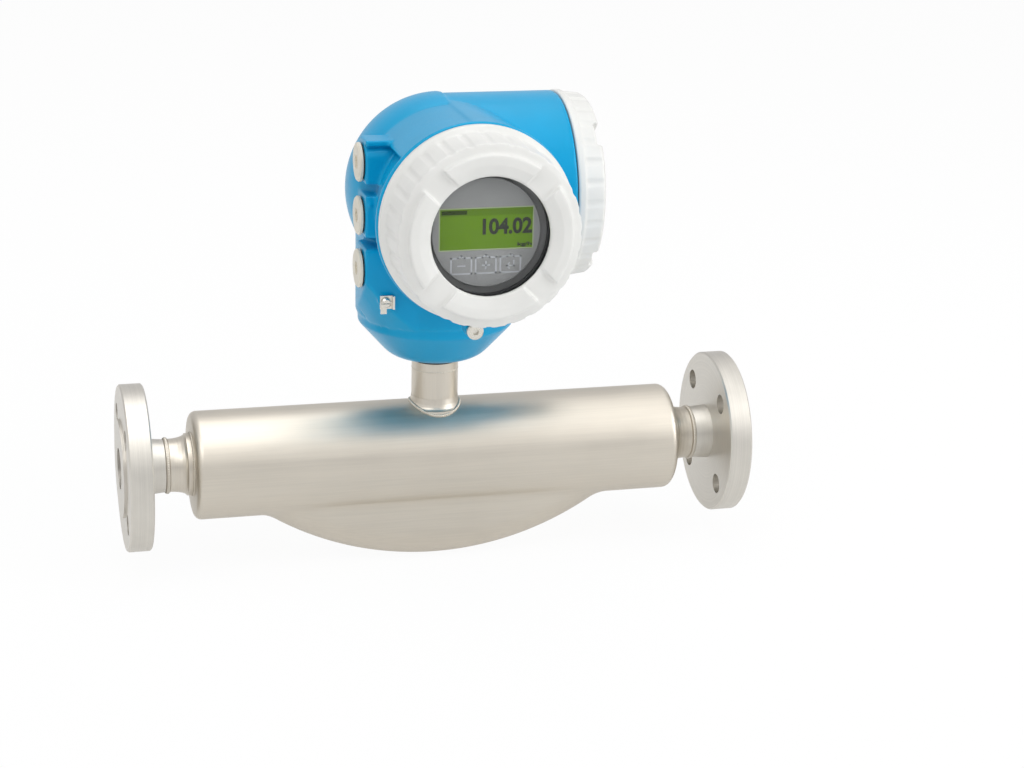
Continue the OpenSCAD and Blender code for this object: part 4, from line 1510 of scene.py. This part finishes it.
@dataclass(frozen=True)
class Viewpoint:
    """Where the camera stands and how it is turned, in metres and degrees."""

    place: Point = (-0.12493, -1.48478, 0.54003)
    yaw: float = 15.117
    pitch: float = 17.864
    roll: float = 1.4066
    lens: float = 80.39
    sensor: float = 36.0
    nearest: float = 0.05
    farthest: float = 30.0

    def build(self) -> None:
        """Makes the scene's camera."""
        data = bpy.data.cameras.new("camera")
        data.lens = self.lens
        data.sensor_width = self.sensor
        data.clip_start = self.nearest
        data.clip_end = self.farthest
        camera = link(data, "camera")
        turn = Matrix.Identity(4)
        for angle, axis in ((-self.yaw, "Z"), (90.0 - self.pitch, "X"), (self.roll, "Z")):
            turn @= Matrix.Rotation(math.radians(angle), 4, axis)
        camera.matrix_world = Matrix.Translation(self.place) @ turn
        bpy.context.scene.camera = camera


@dataclass(frozen=True)
class SoftBox:
    """A soft rectangular lamp that points at the part."""

    label: str
    place: Point
    width: float
    height: float
    power: float
    target: Point = (0.22, 0.0, 0.1)

    def build(self) -> None:
        """Hangs the lamp."""
        data = bpy.data.lights.new(self.label, "AREA")
        data.shape = "RECTANGLE"
        data.size = self.width
        data.size_y = self.height
        data.energy = self.power
        lamp = link(data, self.label)
        aim = Vector(self.target) - Vector(self.place)
        lamp.location = self.place
        lamp.rotation_euler = aim.to_track_quat("-Z", "Y").to_euler()


@dataclass
class Studio:
    """Floor, lamps, surroundings and camera."""

    viewpoint: Viewpoint = field(default_factory=Viewpoint)
    floor_half: float = 4.0
    floor_gap: float = 0.5 * MM
    ambient: float = 0.54
    white: Colour = (1.0, 1.0, 1.0)
    rear_tone: Colour = (0.7, 0.7, 0.71)
    low_tone: Colour = (0.6, 0.61, 0.63)
    lamps: tuple[SoftBox, ...] = (
        SoftBox("key_box", (-0.7, -1.1, 1.5), 1.3, 0.9, 6.5),
        SoftBox("top_box", (0.25, 0.0, 1.7), 2.2, 1.0, 10.5),
        SoftBox("side_box", (1.5, -0.8, 0.7), 0.8, 1.2, 9.0),
    )

    def floor(self) -> None:
        """Lays the floor under the part's lowest point."""
        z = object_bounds()[0][2] - self.floor_gap
        rows = 9
        grid = np.linspace(-self.floor_half, self.floor_half, rows)
        points = [(x, y, z) for y in grid for x in grid]
        sheet = from_lists("floor", points, quads(rows, rows, closed=False))
        sheet.data.materials.append(FLOOR_PAPER.material())
        sheet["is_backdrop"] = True

    def surroundings(self) -> None:
        """Lights the part evenly; the camera sees white, metal and glass a room with some depth."""
        world = bpy.data.worlds.new("studio")
        bpy.context.scene.world = world
        graph = Graph(world)

        def glow(colour: Value | Colour, strength: float = 1.0) -> bpy.types.Node:
            """Returns an even light from all round."""
            return graph.node("ShaderNodeBackground", {"Color": colour, "Strength": strength})

        _, depth, rise = graph.axes(graph.place())
        tone = graph.blend(depth.ease(-0.2, 0.8), self.white, self.rear_tone)
        band = rise.ease(-0.05, 0.08) * (1.0 - rise.ease(0.2, 0.4)) * (-depth).ease(0.0, 0.6)
        room = glow(graph.blend(band, tone, self.low_tone))
        lit = graph.mixed(seen_rays(graph, 0.0, 1.0), glow(self.white, self.ambient), room)
        shown = graph.mixed(seen_rays(graph, 1.0, 0.0), lit, glow(self.white))
        graph.finish(shown, "World")

    def build(self) -> None:
        """Sets the whole studio up."""
        bpy.context.scene.view_settings.view_transform = "Standard"
        self.surroundings()
        for lamp in self.lamps:
            lamp.build()
        self.floor()
        self.viewpoint.build()


def main() -> None:
    """Builds the studio and each sub-assembly in order."""
    logging.basicConfig(level=logging.INFO, format="%(name)s: %(message)s")
    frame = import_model()
    Studio().build()
    Sensor().build(frame)
    Transmitter().build(frame)
    DisplayFace().build(frame)
    Covers().build(frame)


if __name__ == "__main__":
    main()
